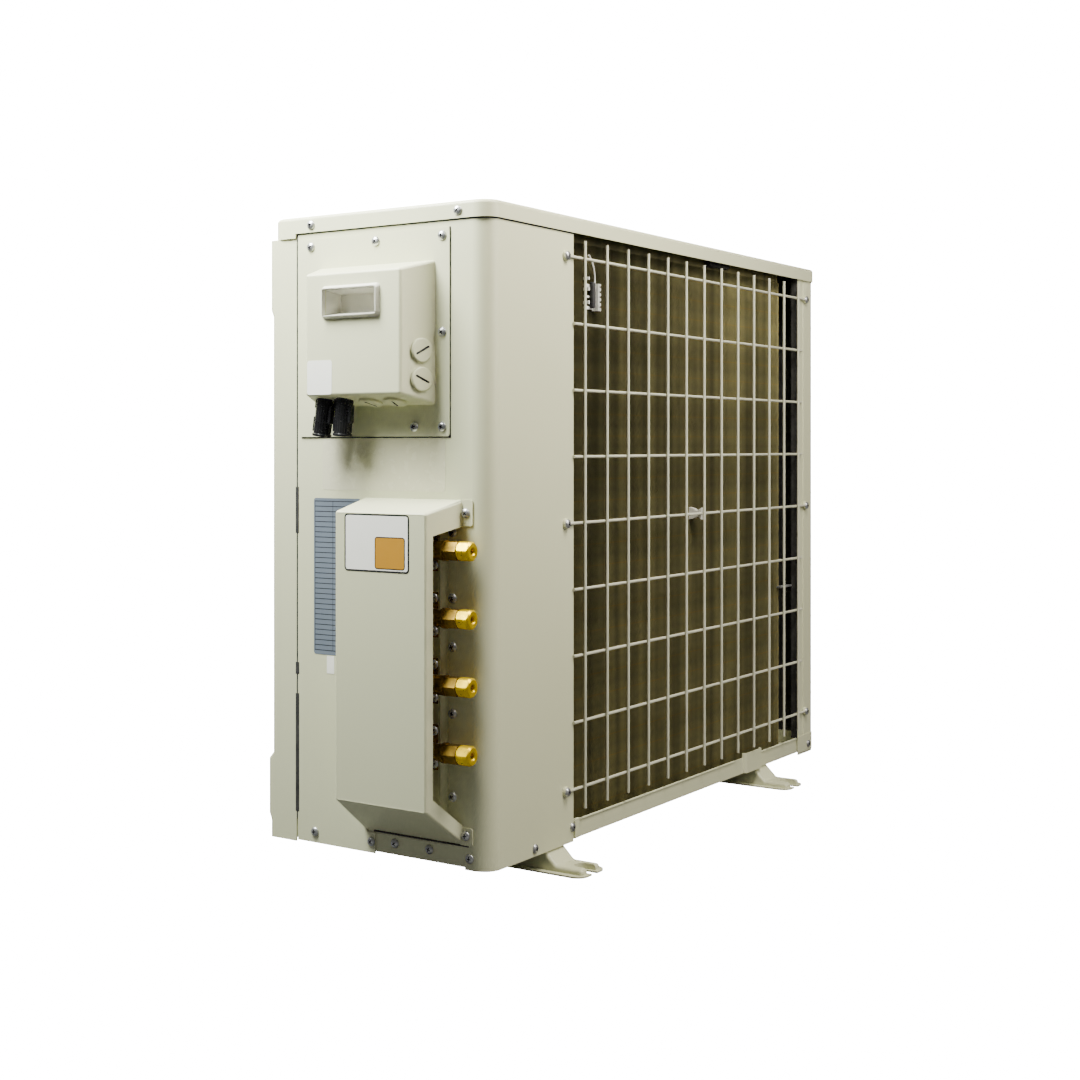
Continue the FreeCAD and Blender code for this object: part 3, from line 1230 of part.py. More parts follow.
def partition_plate():
    """Bulkhead between the fan chamber and the compressor, bent to meet the coil's end."""
    piece = Piece("partition_plate")
    plan = piece.sketch("XY", FLOOR)
    meet_x, meet_y = f"{COIL_RIGHT} - 6", f"{COIL_BACK} - coil_thickness - sheet_lap - 1"
    outline(plan, [
        ("partition_x", PANEL_BACK), ("partition_x + skin", PANEL_BACK),
        ("partition_x + skin", "20", "partition_bow"), (meet_x, f"{meet_y} - skin"),
        (meet_x, meet_y), (f"partition_x + skin / 3", "20.7", "partition_bow")])
    piece.pad(plan, f"board_box_bottom - fit_gap - {FLOOR}")
    keep(piece)


def compressor():
    shell = Piece("compressor_shell")
    base = "(grommet_radius / 3)"
    profile = shell.sketch("XZ")
    tall = "compressor_height"
    outline(profile, [
        ("0", "0"), ("compressor_radius - 8", "0", "10"), ("compressor_radius", "22", "10"),
        ("compressor_radius", f"{tall} - 26", "16"), ("compressor_radius - 26", tall, "20"),
        ("0", tall)])
    shell.revolve(profile)
    outlet = shell.sketch("XY", f"{tall} - 30")
    ring(outlet, OUTLET, "0", "pipe_outer + 1.5")
    shell.pad(outlet, "38")
    feet = shell.sketch("XY", "0")
    reach = f"({FEET_RADIUS})"
    points = []
    for k in range(3):
        for turn in (-9, 9):
            spoke = 90 + 120 * k + turn
            points.append((f"({reach} + 14) * cos({spoke})", f"({reach} + 14) * sin({spoke})", "10"))
    outline(feet, points)
    shell.pad(feet, "3")
    holes = shell.sketch("XY", "-1")
    for k in range(3):
        spoke = 90 + 120 * k
        ring(holes, f"{reach} * cos({spoke})" if k else "0", f"{reach} * sin({spoke})",
             "stud_radius + 1")
    shell.cut(holes, "6", back=True)
    shell.move("compressor_x", "-compressor_y", PLATE_Z)
    keep(shell)

    grommets, studs = [], []
    for x, y in COMPRESSOR_FEET:
        rubber = cylinder(x, y, PAD_TOP, "grommet_radius", "grommet_height")
        way = cylinder(x, y, f"{PAD_TOP} - 1", "stud_radius + fit_gap", "grommet_height + 2")
        grommets.append(cut("grommet", rubber, [way]))
        stud = cylinder(x, y, PAD_TOP, "stud_radius", "grommet_height + 18")
        nut = cylinder(x, y, f"{PLATE_Z} + 3", "stud_radius + 4", "7")
        studs.append(fuse("stud", [stud, nut]))
    keep(group("compressor_grommets", grommets))
    keep(group("compressor_studs", studs))

    x = "(compressor_x - compressor_radius - accumulator_radius - 12)"
    tank = Piece("accumulator")
    side = tank.sketch("XZ")
    outline(side, [
        ("0", "0"), ("accumulator_radius", "0", "14"), ("accumulator_radius", "accumulator_height", "14"),
        ("0", "accumulator_height")])
    tank.revolve(side)
    arm = tank.sketch("YZ", "accumulator_radius - 4")
    rectangle(arm, "-12", "accumulator_height * 0.5", "12", "accumulator_height * 0.62")
    tank.pad(arm, "18")
    tank.move(x, "-compressor_y", f"{PLATE_Z} + 40")
    clear = cylinder("compressor_x", "-compressor_y", PLATE_Z, "compressor_radius + fit_gap",
                     "compressor_height")
    keep(cut_from_body("accumulator", tank.body, [clear]))
    cap = cylinder("compressor_x", "-compressor_y", f"{PLATE_Z} + compressor_height", "22", "16")
    keep(group("compressor_terminal_cover", [cap]))
    return x


def pipework(tank_x):
    """Lines between the compressor, the reversing valve, the coil and the service valves."""
    valve_z = "(board_box_bottom - 70)"
    valve_y = "(-compressor_y - 46)"
    start, pitch = "(compressor_x - 70)", 24
    port = [f"({start} + {pitch * k + 12})" for k in range(3)]
    body = cylinder(start, valve_y, valve_z, "11", "96", "X")
    ends = [cylinder(x, valve_y, f"{valve_z} - 24", "pipe_outer + 1", "20") for x in port]
    top = cylinder(f"{start} + 48", valve_y, f"{valve_z} + 4", "pipe_outer + 1", "20")
    pilot = cylinder(f"{start} + 20", f"{valve_y} - 24", valve_z, "8", "18", "Y")
    keep(fuse("reversing_valve", [body, *ends, top, pilot]))
    up, under = f"{valve_z} + 40", f"{valve_z} - 24"
    outlet = f"compressor_x + {OUTLET}"
    pipes = [bent_tube("discharge_pipe", [
        (outlet, "-compressor_y", f"{PLATE_Z} + compressor_height + 8"),
        (outlet, "-compressor_y", up), (f"{start} + 48", valve_y, up),
        (f"{start} + 48", valve_y, f"{valve_z} + 24")], "pipe_outer", 14)]
    pipes.append(bent_tube("suction_pipe", [
        (tank_x, "-compressor_y", f"{PLATE_Z} + 40 + accumulator_height"),
        (tank_x, "-compressor_y", f"{valve_z} - 60"), (port[1], valve_y, f"{valve_z} - 60"),
        (port[1], valve_y, under)], "pipe_outer", 14))
    # between two return bends of the coil, so that it meets the bare end plate
    coil_z = f"{COIL_FOOT} + 7 * ({COIL_TOP} - {COIL_FOOT}) / 12"
    tube_y = f"({COIL_BACK} - coil_thickness / 2)"
    pipes.append(bent_tube("coil_pipe", [
        (port[0], valve_y, under), (port[0], valve_y, coil_z), (f"{COIL_RIGHT} + 18", valve_y, coil_z),
        (f"{COIL_RIGHT} + 18", tube_y, coil_z), (f"{COIL_RIGHT} + skin", tube_y, coil_z)],
        "pipe_outer", 10))
    keep(group("refrigerant_pipes", pipes))

    joint_z = "(board_box_bottom - 116)"
    lines, expansion = [], []
    for k in range(4):
        x, y, z = f"({SIDE} - {34 + 13 * k})", f"({72 + 4 * k})", valve_height(k)
        path = [(f"{SIDE} - skin", "line_y", z), (x, "line_y", z), (x, y, z)]
        if k % 2 == 0:
            path.append((x, y, f"{joint_z} + {14 * (2 - k)}"))
            block = cylinder(x, y, f"{joint_z} + {14 * (2 - k)}", "9", "26")
            can = cylinder(x, y, f"{joint_z} + {14 * (2 - k) + 22}", "14", "26")
            expansion.append(fuse("expansion_valve", [block, can]))
        elif k == 1:
            # meets the side of the last line's level run
            path += [(x, y, joint_z), (x, "30", joint_z),
                     (f"{SIDE} - 73 + pipe_radius + fit_gap", "30", joint_z)]
        else:
            path += [(x, y, joint_z), (x, valve_y, joint_z), (port[2], valve_y, joint_z),
                     (port[2], valve_y, under)]
        lines.append(bent_tube(f"valve_line_{k + 1}", path, "pipe_radius", 6))
    keep(group("valve_lines", lines))
    keep(group("expansion_valves", expansion))


def electronics():
    """Inverter box above the compressor, with its board, heat sink, choke and terminals."""
    left, right = "(partition_x + 6)", f"({SIDE} - skin - lip_width - 6)"
    front, rear = f"({SEAM} + 4)", f"({COIL_BACK} - coil_thickness - 12)"
    tray = Piece("control_box")
    outer = tray.sketch("XY", "board_box_bottom")
    rectangle(outer, left, front, right, rear)
    tray.pad(outer, "board_box_height")
    inner = tray.sketch("XY", "board_box_bottom + skin")
    rectangle(inner, f"{left} + skin", f"{front} + skin", f"{right} - skin", f"{rear} - skin")
    tray.cut(inner, "board_box_height", back=True)
    hang = tray.sketch("XY", "board_box_bottom + board_box_height")
    for low, high in ((front, f"{front} + 12"), (f"{rear} - 12", rear)):
        rectangle(hang, f"{left} + 20", low, f"{left} + 60", high)
    tray.pad(hang, f"total_height - skin - 1 - board_box_bottom - board_box_height")
    keep(tray)
    z = "board_box_bottom + skin"
    board = box(f"{left} + 14", f"{front} + 16", f"{z} + 8", f"{right} - {left} - 90",
                f"{rear} - {front} - 32", "2")
    posts = [cylinder(f"{left} + {x}", f"{y}", z, "3", "8.5")
             for x in (24, 150) for y in (f"{front} + 26", f"{rear} - 26")]
    chips = [cylinder(f"{left} + {40 + 30 * k}", f"{front} + 60", f"{z} + 10", "11", "34")
             for k in range(3)]
    relays = [box(f"{left} + {36 + 34 * k}", f"{rear} - 80", f"{z} + 10", "22", "30", "20")
              for k in range(3)]
    keep(fuse("circuit_board", [board, *posts, *chips, *relays]))
    choke = box(f"{right} - 60", f"{front} + 30", z, "44", "70", "46")
    keep(group("line_choke", [choke]))
    sink = Piece("heat_sink")
    plan = sink.sketch("YZ", left)
    fins = [(f"{front} + 60", f"{z} + 70"), (f"{front} + 60", z)]
    for k in range(9):
        base = f"{front} + 60 + {k} * 12"
        fins += [(f"{base} + 3", z), (f"{base} + 3", f"{z} + 60"), (f"{base} + 12", f"{z} + 60"),
                 (f"{base} + 12", z)] if k < 8 else [(f"{base} + 3", z), (f"{base} + 3", f"{z} + 70")]
    outline(plan, fins)
    sink.pad(plan, "56", back=True)
    keep(sink)
    inner = f"{SIDE} - 2 * skin"
    shelf_z, front = "box_face_bottom + 10", "-box_face_front"
    shelf = box(f"{inner} - 34", f"{front} + 8", shelf_z, "34", "110", "2")
    drop = box(f"{inner} - 34", f"{front} + 8", shelf_z, "2", "110",
               f"board_box_bottom - ({shelf_z})")
    rail = box(f"{inner} - 28", f"{front} + 12", f"{shelf_z} + 2", "24", "104", "10")
    blocks = [box(f"{inner} - 26", f"{front} + 14 + {k} * 17", f"{shelf_z} + 2", "20", "15", "26")
              for k in range(6)]
    keep(group("terminal_block", [fuse("terminal_shelf", [shelf, drop]),
                                  fuse("terminals", [rail, *blocks])]))


def fasteners():
    proud = f"{SIDE} + skin"
    low = "foot_height + 10"
    lid = [(f"{SIDE} + lid_lap", y, f"{LID_BOTTOM} + 8") for y in (f"{SEAM} + 22", f"{BACK} - 37")]
    keep(group("lid_screws", screws(lid, "X", ["top_cover", "right_side_panel"])))
    cover = [(proud, y, z) for y, z in (
        ("-cover_front + 15", "cover_top - 8"), ("-5", "cover_top - 8"),
        ("cover_rear - 9", "cover_top - 8"), ("cover_rear - 9", "(cover_top + cover_bottom) / 2"),
        ("cover_rear - 9", "cover_bottom + 10"), ("cover_rear - 44", "cover_bottom + 10"))]
    cover += [(proud, "valve_cover_rear + valve_rear_draft + 4", z) for z in (
        "valve_cover_top - 1", "valve_cover_bottom - 29")]
    keep(group("cover_screws", screws(cover, "X", [
        "electrical_cover", "valve_cover", "right_side_panel"])))
    side = [(SIDE, y, low) for y in (f"{SEAM} + 26", "-low_notch_front - 5", "low_notch_rear + 6")]
    pan = [(f"{SIDE} - skin", y, f"{low} + 2") for y in ("18", "62")]
    rear = [(x, BACK, z) for x, z in (
        (f"{SIDE} - 88", "foot_height + 6"), (f"{SIDE} - rear_strip + 2.5", "foot_height + 14"),
        (f"-({SIDE} - 21)", "foot_height + 8"))]
    low_through = ["right_side_panel", "left_side_panel", "base_pan"]
    keep(group("case_screws", screws(side + pan, "X", low_through) + screws(rear, "Y", low_through)))
    valve = [(f"{SIDE} - skin + valve_ear", "bracket_y", f"{valve_height(k)} + {side} * 17")
             for k in range(4) for side in (-1, 1)]
    edge = [(SIDE, "notch_rear + 6", f"first_valve_z + {rise} * valve_pitch")
            for rise in (-0.72, 0.53, 1.53, 2.26, 3.25)]
    keep(group("valve_screws", screws(valve + edge, "X", [
        *VALVES, "valve_plate", "right_side_panel"])))
    guard = [(x, f"{BACK} + wire_radius * 0.9", f"guard_first_z + {k} * guard_pitch_z")
             for k in (0, 4, 8) for x in EYE_X]
    keep(group("guard_screws", screws(guard, "Y", ["left_side_panel", "right_side_panel"])))


# ---------------------------------------------------------------- build and write
top_cover()
front_panel()
right_side_panel()
left_side_panel()
base_pan()
foot_rail("foot_rail_right", "foot_spacing / 2 + foot_shift")
foot_rail("foot_rail_left", "-foot_spacing / 2 + foot_shift")
rear_guard()
left_guard()
guard_clip()
coil()
tube_sheets()
hairpin_bends()
coil_sensor()
electrical_cover()
for plug, angle in zip(PLUGS, (28, -24, 10, -15)):
    coin_plug(plug, angle)
handle_cup()
cable_sleeve("cable_sleeve_front", SLEEVE_Y[0], -8)
cable_sleeve("cable_sleeve_rear", SLEEVE_Y[1], 0)
valve_plate()
valve_cover()
for number in range(4):
    service_valve(number)
    flare_nut(number)
valve_caps()
fan_ring()
fan_grille()
fan_blade()
motor_parts()
partition_plate()
pipework(compressor())
electronics()
fasteners()
drill()
doc.recompute()

os.makedirs("parts", exist_ok=True)
faults = [obj.Name for obj in doc.Objects if {"Invalid", "Error"} & set(obj.State)]
for node in NODES:
    if node.Shape.isNull() or not node.Shape.isValid() or not node.Shape.Solids:
        faults.append(node.Label)
if faults:
    raise SystemExit("faulty objects: " + ", ".join(faults))
middle = Vector(value("(valve_cover_depth - lid_lap) / 2"), 0, 0)
for node in NODES:
    shape = node.Shape.copy()
    shape.translate(-middle)
    shape.exportStep(f"parts/{node.Label}.step")
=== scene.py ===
import json
import math

import bmesh
import bpy
from mathutils import Matrix, Vector


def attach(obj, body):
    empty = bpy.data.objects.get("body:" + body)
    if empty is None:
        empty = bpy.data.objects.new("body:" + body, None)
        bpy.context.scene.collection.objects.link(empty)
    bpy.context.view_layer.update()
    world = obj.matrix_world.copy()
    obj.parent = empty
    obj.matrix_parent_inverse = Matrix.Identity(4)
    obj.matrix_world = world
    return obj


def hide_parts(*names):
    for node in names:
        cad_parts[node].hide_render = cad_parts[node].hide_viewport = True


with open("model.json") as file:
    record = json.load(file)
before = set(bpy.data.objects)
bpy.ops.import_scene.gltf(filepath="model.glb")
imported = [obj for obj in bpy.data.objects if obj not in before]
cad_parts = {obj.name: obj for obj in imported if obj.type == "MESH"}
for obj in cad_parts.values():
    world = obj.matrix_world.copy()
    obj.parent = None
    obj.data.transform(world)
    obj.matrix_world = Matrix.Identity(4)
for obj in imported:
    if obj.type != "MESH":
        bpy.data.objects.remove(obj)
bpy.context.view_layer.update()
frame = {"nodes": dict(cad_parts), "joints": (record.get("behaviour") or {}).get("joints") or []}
nodes = frame["nodes"]

# Places are in metres in the frame of the CAD: +X the service side, +Y the coil side, +Z up.
SIDE = 0.3985         # outer face of the side panel
REAR = 0.1365         # outer face of the side panel and of the post at the back
PAN_REAR = 0.135      # outer face of the pan's rear rim
BOX_FACE = 0.4405     # outer face of the electrical cover's box
VALVE_FACE = 0.4482   # outer face of the valve cover, set back by its card
CARD = 0.0003         # thickness of that card
COIL_FACE = 0.1226    # just clear of the fins at the back
QUARTER = math.radians(90)


# ------------------------------------------------------------------ camera
CAMERA_SPOT = (1.77983, 1.03390, 0.45350)
CAMERA_HEADING = -144.233
CAMERA_LENS = 54.606
CAMERA_SHIFT = (0.12, -0.0882)


def photograph_camera():
    """Level camera off the rear-right corner, as the photograph was taken."""
    heading = math.radians(CAMERA_HEADING - 90)
    bpy.ops.object.camera_add(location=CAMERA_SPOT, rotation=(QUARTER, 0, heading))
    camera = bpy.context.object
    camera.name = "photograph_camera"
    camera.data.sensor_width = 36
    camera.data.lens = CAMERA_LENS
    camera.data.shift_x, camera.data.shift_y = CAMERA_SHIFT
    bpy.context.scene.camera = camera


photograph_camera()


# ------------------------------------------------------------------ finishes
def new_finish(name, colour, rough, metal=0.0):
    """A material with its shader set, and the texture coordinates it reads."""
    made = bpy.data.materials.new(name)
    made.use_nodes = True
    shader = made.node_tree.nodes["Principled BSDF"]
    shader.inputs["Base Color"].default_value = (*colour, 1)
    shader.inputs["Roughness"].default_value = rough
    shader.inputs["Metallic"].default_value = metal
    where = made.node_tree.nodes.new("ShaderNodeTexCoord")
    return made, shader, where.outputs["Object"]


def link(made, start, end):
    made.node_tree.links.new(start, end)


def noise(made, where, scale, detail=2.0, squeeze=(1, 1, 1)):
    """Soft noise on the piece, drawn out along an axis whose squeeze is small."""
    tree = made.node_tree
    fit = tree.nodes.new("ShaderNodeMapping")
    fit.inputs["Scale"].default_value = squeeze
    link(made, where, fit.inputs["Vector"])
    grain = tree.nodes.new("ShaderNodeTexNoise")
    grain.inputs["Scale"].default_value = scale
    grain.inputs["Detail"].default_value = detail
    link(made, fit.outputs["Vector"], grain.inputs["Vector"])
    return grain.outputs["Fac"]


def shades(made, strength, stops):
    """Colour ramp from a list of (position, colour)."""
    ramp = made.node_tree.nodes.new("ShaderNodeValToRGB")
    points = ramp.color_ramp.elements
    while len(points) < len(stops):
        points.new(0.5)
    for point, (position, colour) in zip(points, stops):
        point.position = position
        point.color = (*colour, 1)
    link(made, strength, ramp.inputs["Fac"])
    return ramp.outputs["Color"]


def span(made, strength, low, high, start=0.3, end=0.7):
    """Low up to the start, high from the end on, and a straight slope between."""
    fit = made.node_tree.nodes.new("ShaderNodeMapRange")
    for socket, number in zip(("From Min", "From Max", "To Min", "To Max"),
                              (start, end, low, high)):
        fit.inputs[socket].default_value = number
    link(made, strength, fit.inputs["Value"])
    return fit.outputs["Result"]


def maths(made, operation, *terms):
    """One sum on sockets and plain numbers."""
    total = made.node_tree.nodes.new("ShaderNodeMath")
    total.operation = operation
    for term, socket in zip(terms, total.inputs):
        if isinstance(term, float):
            socket.default_value = term
        else:
            link(made, term, socket)
    return total.outputs["Value"]


def multiplied(made, first, second):
    """A colour multiplied by a colour or by a strength."""
    mix = made.node_tree.nodes.new("ShaderNodeMix")
    mix.data_type = "RGBA"
    mix.blend_type = "MULTIPLY"
    mix.inputs["Factor"].default_value = 1.0
    link(made, first, mix.inputs["A"])
    link(made, second, mix.inputs["B"])
    return mix.outputs["Result"]


def relief(made, shader, height, depth, strength):
    """Bump of this depth in metres."""
    bump = made.node_tree.nodes.new("ShaderNodeBump")
    bump.inputs["Strength"].default_value = strength
    bump.inputs["Distance"].default_value = depth
    link(made, height, bump.inputs["Height"])
    link(made, bump.outputs["Normal"], shader.inputs["Normal"])


def drifting_finish(name, dark, light, rough, metal=0.0, drift=8.0, grain=900.0,
                    depth=0.00005, strength=0.35, squeeze=(1, 1, 1), rough_spread=0.08):
    """A finish whose tone drifts softly and whose skin has a fine grain."""
    between = tuple((a + b) / 2 for a, b in zip(dark, light))
    made, shader, where = new_finish(name, between, rough, metal)
    tone = noise(made, where, drift, 4.0, squeeze)
    link(made, shades(made, tone, [(0.34, dark), (0.66, light)]), shader.inputs["Base Color"])
    patches = noise(made, where, drift * 5, 3.0, squeeze)
    link(made, span(made, patches, rough - rough_spread, rough + rough_spread),
         shader.inputs["Roughness"])
    relief(made, shader, noise(made, where, grain, 2.0, squeeze), depth, strength)
    return made


def powder_coat(name, dark, light, rough=0.42):
    """Baked powder coat: an even tone over an orange-peel skin."""
    return drifting_finish(name, dark, light, rough, drift=2.2, grain=620,
                           depth=0.00006, strength=0.22, rough_spread=0.04)


def spangled_zinc(name):
    """Hot-dip galvanised sheet with its crystal pattern."""
    made, shader, where = new_finish(name, (0.46, 0.47, 0.48), 0.42, 0.85)
    crystals = made.node_tree.nodes.new("ShaderNodeTexVoronoi")
    crystals.inputs["Scale"].default_value = 95
    link(made, where, crystals.inputs["Vector"])
    tone = shades(made, crystals.outputs["Color"],
                  [(0.2, (0.36, 0.37, 0.38)), (0.8, (0.60, 0.61, 0.62))])
    link(made, tone, shader.inputs["Base Color"])
    link(made, span(made, noise(made, where, 40, 3), 0.34, 0.52), shader.inputs["Roughness"])
    relief(made, shader, noise(made, where, 260, 2), 0.00004, 0.3)
    return made


def fin_stock_with_painted_light(name):
    """Golden corrosion-proof fin stock with faint tube rows and upright streaks.

    It carries painted light: a painted highlight round the bend, painted light toward the foot and
    painted light high up toward the left end.
    """
    half_row = 0.0122
    made, shader, where = new_finish(name, (0.17, 0.13, 0.055), 0.5, 0.35)
    split = made.node_tree.nodes.new("ShaderNodeSeparateXYZ")
    link(made, where, split.inputs["Vector"])
    along, height = split.outputs["X"], split.outputs["Z"]
    row = span(made, maths(made, "PINGPONG", height, half_row), 0.0, 1.0, 0.0, half_row)
    rows = shades(made, row, [(0.0, (0.172, 0.137, 0.050)), (0.07, (0.146, 0.130, 0.056)),
                              (0.55, (0.140, 0.127, 0.056)), (1.0, (0.130, 0.118, 0.054))])
    streaks = shades(made, noise(made, where, 12, 1.5, (3.6, 3.6, 0.10)),
                     [(0.32, (0.58, 0.58, 0.56)), (0.68, (1.22, 1.21, 1.17))])
    # Painted light: a painted highlight round the bend, painted light toward the foot, and painted
    # light high up toward the left end, all multiplied into the fin colour.
    bend = span(made, along, 1.9, 1.0, -0.374, -0.352)
    foot = span(made, height, 1.85, 1.05, 0.08, 0.45)
    left = span(made, along, 0.75, 0.0, -0.22, -0.02)
    high = span(made, height, 0.0, 1.0, 0.40, 0.62)
    light = maths(made, "MULTIPLY", bend, maths(made, "MULTIPLY_ADD", left, high, foot))
    tone = multiplied(made, rows, multiplied(made, streaks, light))
    link(made, tone, shader.inputs["Base Color"])
    link(made, span(made, noise(made, where, 60, 3), 0.38, 0.62), shader.inputs["Roughness"])
    relief(made, shader, noise(made, where, 340, 3, (1, 1, 6)), 0.00025, 0.6)
    return made


# The slots of the record, and after them the finishes that only scene pieces wear.
FINISHES = {
    "paint": powder_coat("ivory_powder_coat", (0.598, 0.606, 0.402), (0.630, 0.638, 0.434)),
    "wire_coating": powder_coat("coated_wire", (0.53, 0.527, 0.40), (0.58, 0.577, 0.45), 0.34),
    "grille_white": powder_coat("coated_grille", (0.64, 0.635, 0.55), (0.68, 0.675, 0.59), 0.36),
    "galvanised": spangled_zinc("galvanised_sheet"),
    "zinc_screw": drifting_finish("bright_zinc_plate", (0.40, 0.405, 0.415), (0.60, 0.61, 0.62),
                                  0.36, 0.9, drift=90, grain=1500, depth=0.00002),
    "coil_fins": fin_stock_with_painted_light("golden_fin_stock"),
    "copper": drifting_finish("copper_tube", (0.36, 0.15, 0.075), (0.62, 0.27, 0.13), 0.32, 1.0,
                              drift=26, grain=700, depth=0.00003),
    "valve_brass": drifting_finish("forged_brass", (0.15, 0.092, 0.015), (0.38, 0.24, 0.040), 0.40,
                                   1.0, drift=60, grain=900, depth=0.00008),
    "nut_brass": drifting_finish("turned_brass", (0.64, 0.43, 0.002), (0.88, 0.61, 0.006), 0.34,
                                 0.70, drift=70, grain=900, depth=0.00010),
    "ivory_plastic": drifting_finish("ivory_plastic", (0.60, 0.585, 0.50), (0.67, 0.655, 0.57),
                                     0.38, drift=14, grain=1300, depth=0.00003),
    "sensor_plastic": drifting_finish("white_nylon", (0.66, 0.66, 0.60), (0.76, 0.76, 0.70), 0.45,
                                      drift=60, grain=1300, depth=0.00003),
    "black_sleeve": drifting_finish("black_rubber_sleeve", (0.008, 0.008, 0.009),
                                    (0.02, 0.02, 0.021), 0.22, drift=50, grain=900,
                                    depth=0.00002),
    "fan_plastic": drifting_finish("grey_fan_plastic", (0.20, 0.205, 0.21), (0.25, 0.255, 0.26),
                                   0.44, drift=9, grain=900, depth=0.00004),
    "motor_steel": drifting_finish("motor_enamel", (0.10, 0.10, 0.105), (0.15, 0.15, 0.155), 0.42,
                                   0.2, drift=20, grain=600, depth=0.00006),
    "compressor_black": drifting_finish("black_enamel", (0.012, 0.012, 0.013),
                                        (0.024, 0.024, 0.025), 0.36, drift=24, grain=500,
                                        depth=0.00008),
    "black_plastic": drifting_finish("black_plastic", (0.012, 0.012, 0.012), (0.022, 0.022, 0.022),
                                     0.46, drift=30, grain=1200, depth=0.00004),
    "grommet_rubber": drifting_finish("grommet_rubber", (0.012, 0.012, 0.012),
                                      (0.025, 0.024, 0.023), 0.72, drift=40, grain=700,
                                      depth=0.00006),
    "board_green": drifting_finish("board_green", (0.012, 0.075, 0.030), (0.020, 0.11, 0.045),
                                   0.38, drift=40, grain=800, depth=0.00004),
    "choke_steel": drifting_finish("lacquered_steel", (0.05, 0.05, 0.052), (0.085, 0.085, 0.088),
                                   0.45, 0.6, drift=30, grain=700, depth=0.00005),
    "heat_sink_aluminium": drifting_finish("drawn_aluminium", (0.55, 0.56, 0.57),
                                           (0.66, 0.67, 0.68), 0.36, 1.0, drift=14, grain=500,
                                           depth=0.00004, squeeze=(0.1, 1, 1)),
    "sleeve_end": drifting_finish("grey_sleeve_end", (0.15, 0.15, 0.15), (0.24, 0.24, 0.235),
                                  0.5, drift=60),
    # Painted shade for the screw recesses and the plugs' coin slots.
    "painted_recess_shade": drifting_finish("painted_recess_shade", (0.010, 0.010, 0.011), (0.022, 0.022, 0.023),
                                   0.6, drift=90),
    # Dark foam, also used as painted shade on the post's inner faces and as painted shadow lines
    # in the seams.
    "dark_foam_and_painted_shade": drifting_finish("dark_foam_and_painted_shade", (0.014, 0.014, 0.014), (0.035, 0.035, 0.034),
                                    0.9, drift=60, grain=420, depth=0.0004, strength=0.8),
}

for node in nodes.values():
    for place in node.material_slots:
        place.material = FINISHES[place.material.name]
nodes["valve_plate"].material_slots[0].material = FINISHES["paint"]


# ------------------------------------------------------------------ modelling
def nothing_selected():
    if bpy.context.mode != "OBJECT":
        bpy.ops.object.mode_set(mode="OBJECT")
    bpy.ops.object.select_all(action="DESELECT")


def alone(piece):
    """Select this piece only, and make it the active one."""
    nothing_selected()
    piece.select_set(True)
    bpy.context.view_layer.objects.active = piece


def started(name):
    """Name the object that was just added or joined."""
    piece = bpy.context.object
    piece.name = piece.data.name = name
    return piece


def edit(piece, kind="FACE"):
    """Edit mode on this piece alone, with nothing selected in it."""
    alone(piece)
    bpy.ops.object.mode_set(mode="EDIT")
    bpy.ops.mesh.select_mode(type=kind)
    bpy.ops.mesh.select_all(action="DESELECT")
    return bmesh.from_edit_mesh(piece.data)


def pick(mesh, items, test):
    """Select the faces, edges or vertices that pass the test."""
    for item in items:
        item.select_set(bool(test(item)))
    mesh.select_flush_mode()


def middle(face):
    """Centre of a face in edit mode."""
    return sum((v.co for v in face.verts), Vector()) / len(face.verts)


def edited():
    """Leave edit mode."""
    bpy.ops.object.mode_set(mode="OBJECT")


def sealed():
    """Weld the seams, turn the faces outwards and leave edit mode."""
    bpy.ops.mesh.select_all(action="SELECT")
    bpy.ops.mesh.remove_doubles(threshold=0.00001)
    bpy.ops.mesh.normals_make_consistent(inside=False)
    edited()


def extrude(*way):
    """Extrude the selected faces along a way."""
    bpy.ops.mesh.extrude_region_move(TRANSFORM_OT_translate={"value": way})


def swept(piece, end, steps, centre):
    """Sweep the face at this end through a quarter turn about an upright axis."""
    mesh = edit(piece)
    pick(mesh, mesh.faces, lambda f: f.normal.dot(Vector(end)) > 0.9)
    bpy.ops.mesh.spin(steps=steps, angle=-QUARTER, center=(*centre, 0), axis=(0, 0, 1))


def apply_place(piece):
    """Leave the object at the origin with its place in its mesh."""
    alone(piece)
    bpy.ops.object.transform_apply(location=True, rotation=True, scale=True)


def with_modifier(piece, kind, **settings):
    """Add a modifier and apply it."""
    alone(piece)
    modifier = piece.modifiers.new(kind.lower(), kind)
    for key, setting in settings.items():
        setattr(modifier, key, setting)
    bpy.ops.object.modifier_apply(modifier=modifier.name)


def smooth(piece, angle):
    """Smooth shading up to this angle, with flat faces kept flat."""
    alone(piece)
    bpy.ops.object.shade_smooth_by_angle(angle=math.radians(angle))
    with_modifier(piece, "WEIGHTED_NORMAL", keep_sharp=True, weight=100)


def softened(piece, width, segments=3):
    """Round every sharp edge of a piece."""
    with_modifier(piece, "BEVEL", width=width, segments=segments, limit_method="ANGLE",
                  angle_limit=math.radians(30))
    smooth(piece, 40)
    return piece


def repeated(piece, count, step):
    """A row of this many, each a step from the one before."""
    with_modifier(piece, "ARRAY", count=count, use_relative_offset=False,
                  use_constant_offset=True, constant_offset_displace=step)


def thrown_away(piece):
    bpy.data.objects.remove(piece)


def cut_away(piece, tool):
    """Cut the tool's shape out of the piece."""
    with_modifier(piece, "BOOLEAN", operation="DIFFERENCE", object=tool, solver="EXACT")
    thrown_away(tool)


def block(name, low, high):
    """Box between two corners."""
    nothing_selected()
    centre = [(a + b) / 2 for a, b in zip(low, high)]
    bpy.ops.mesh.primitive_cube_add(size=1, location=centre)
    piece = started(name)
    piece.scale = [b - a for a, b in zip(low, high)]
    apply_place(piece)
    return piece


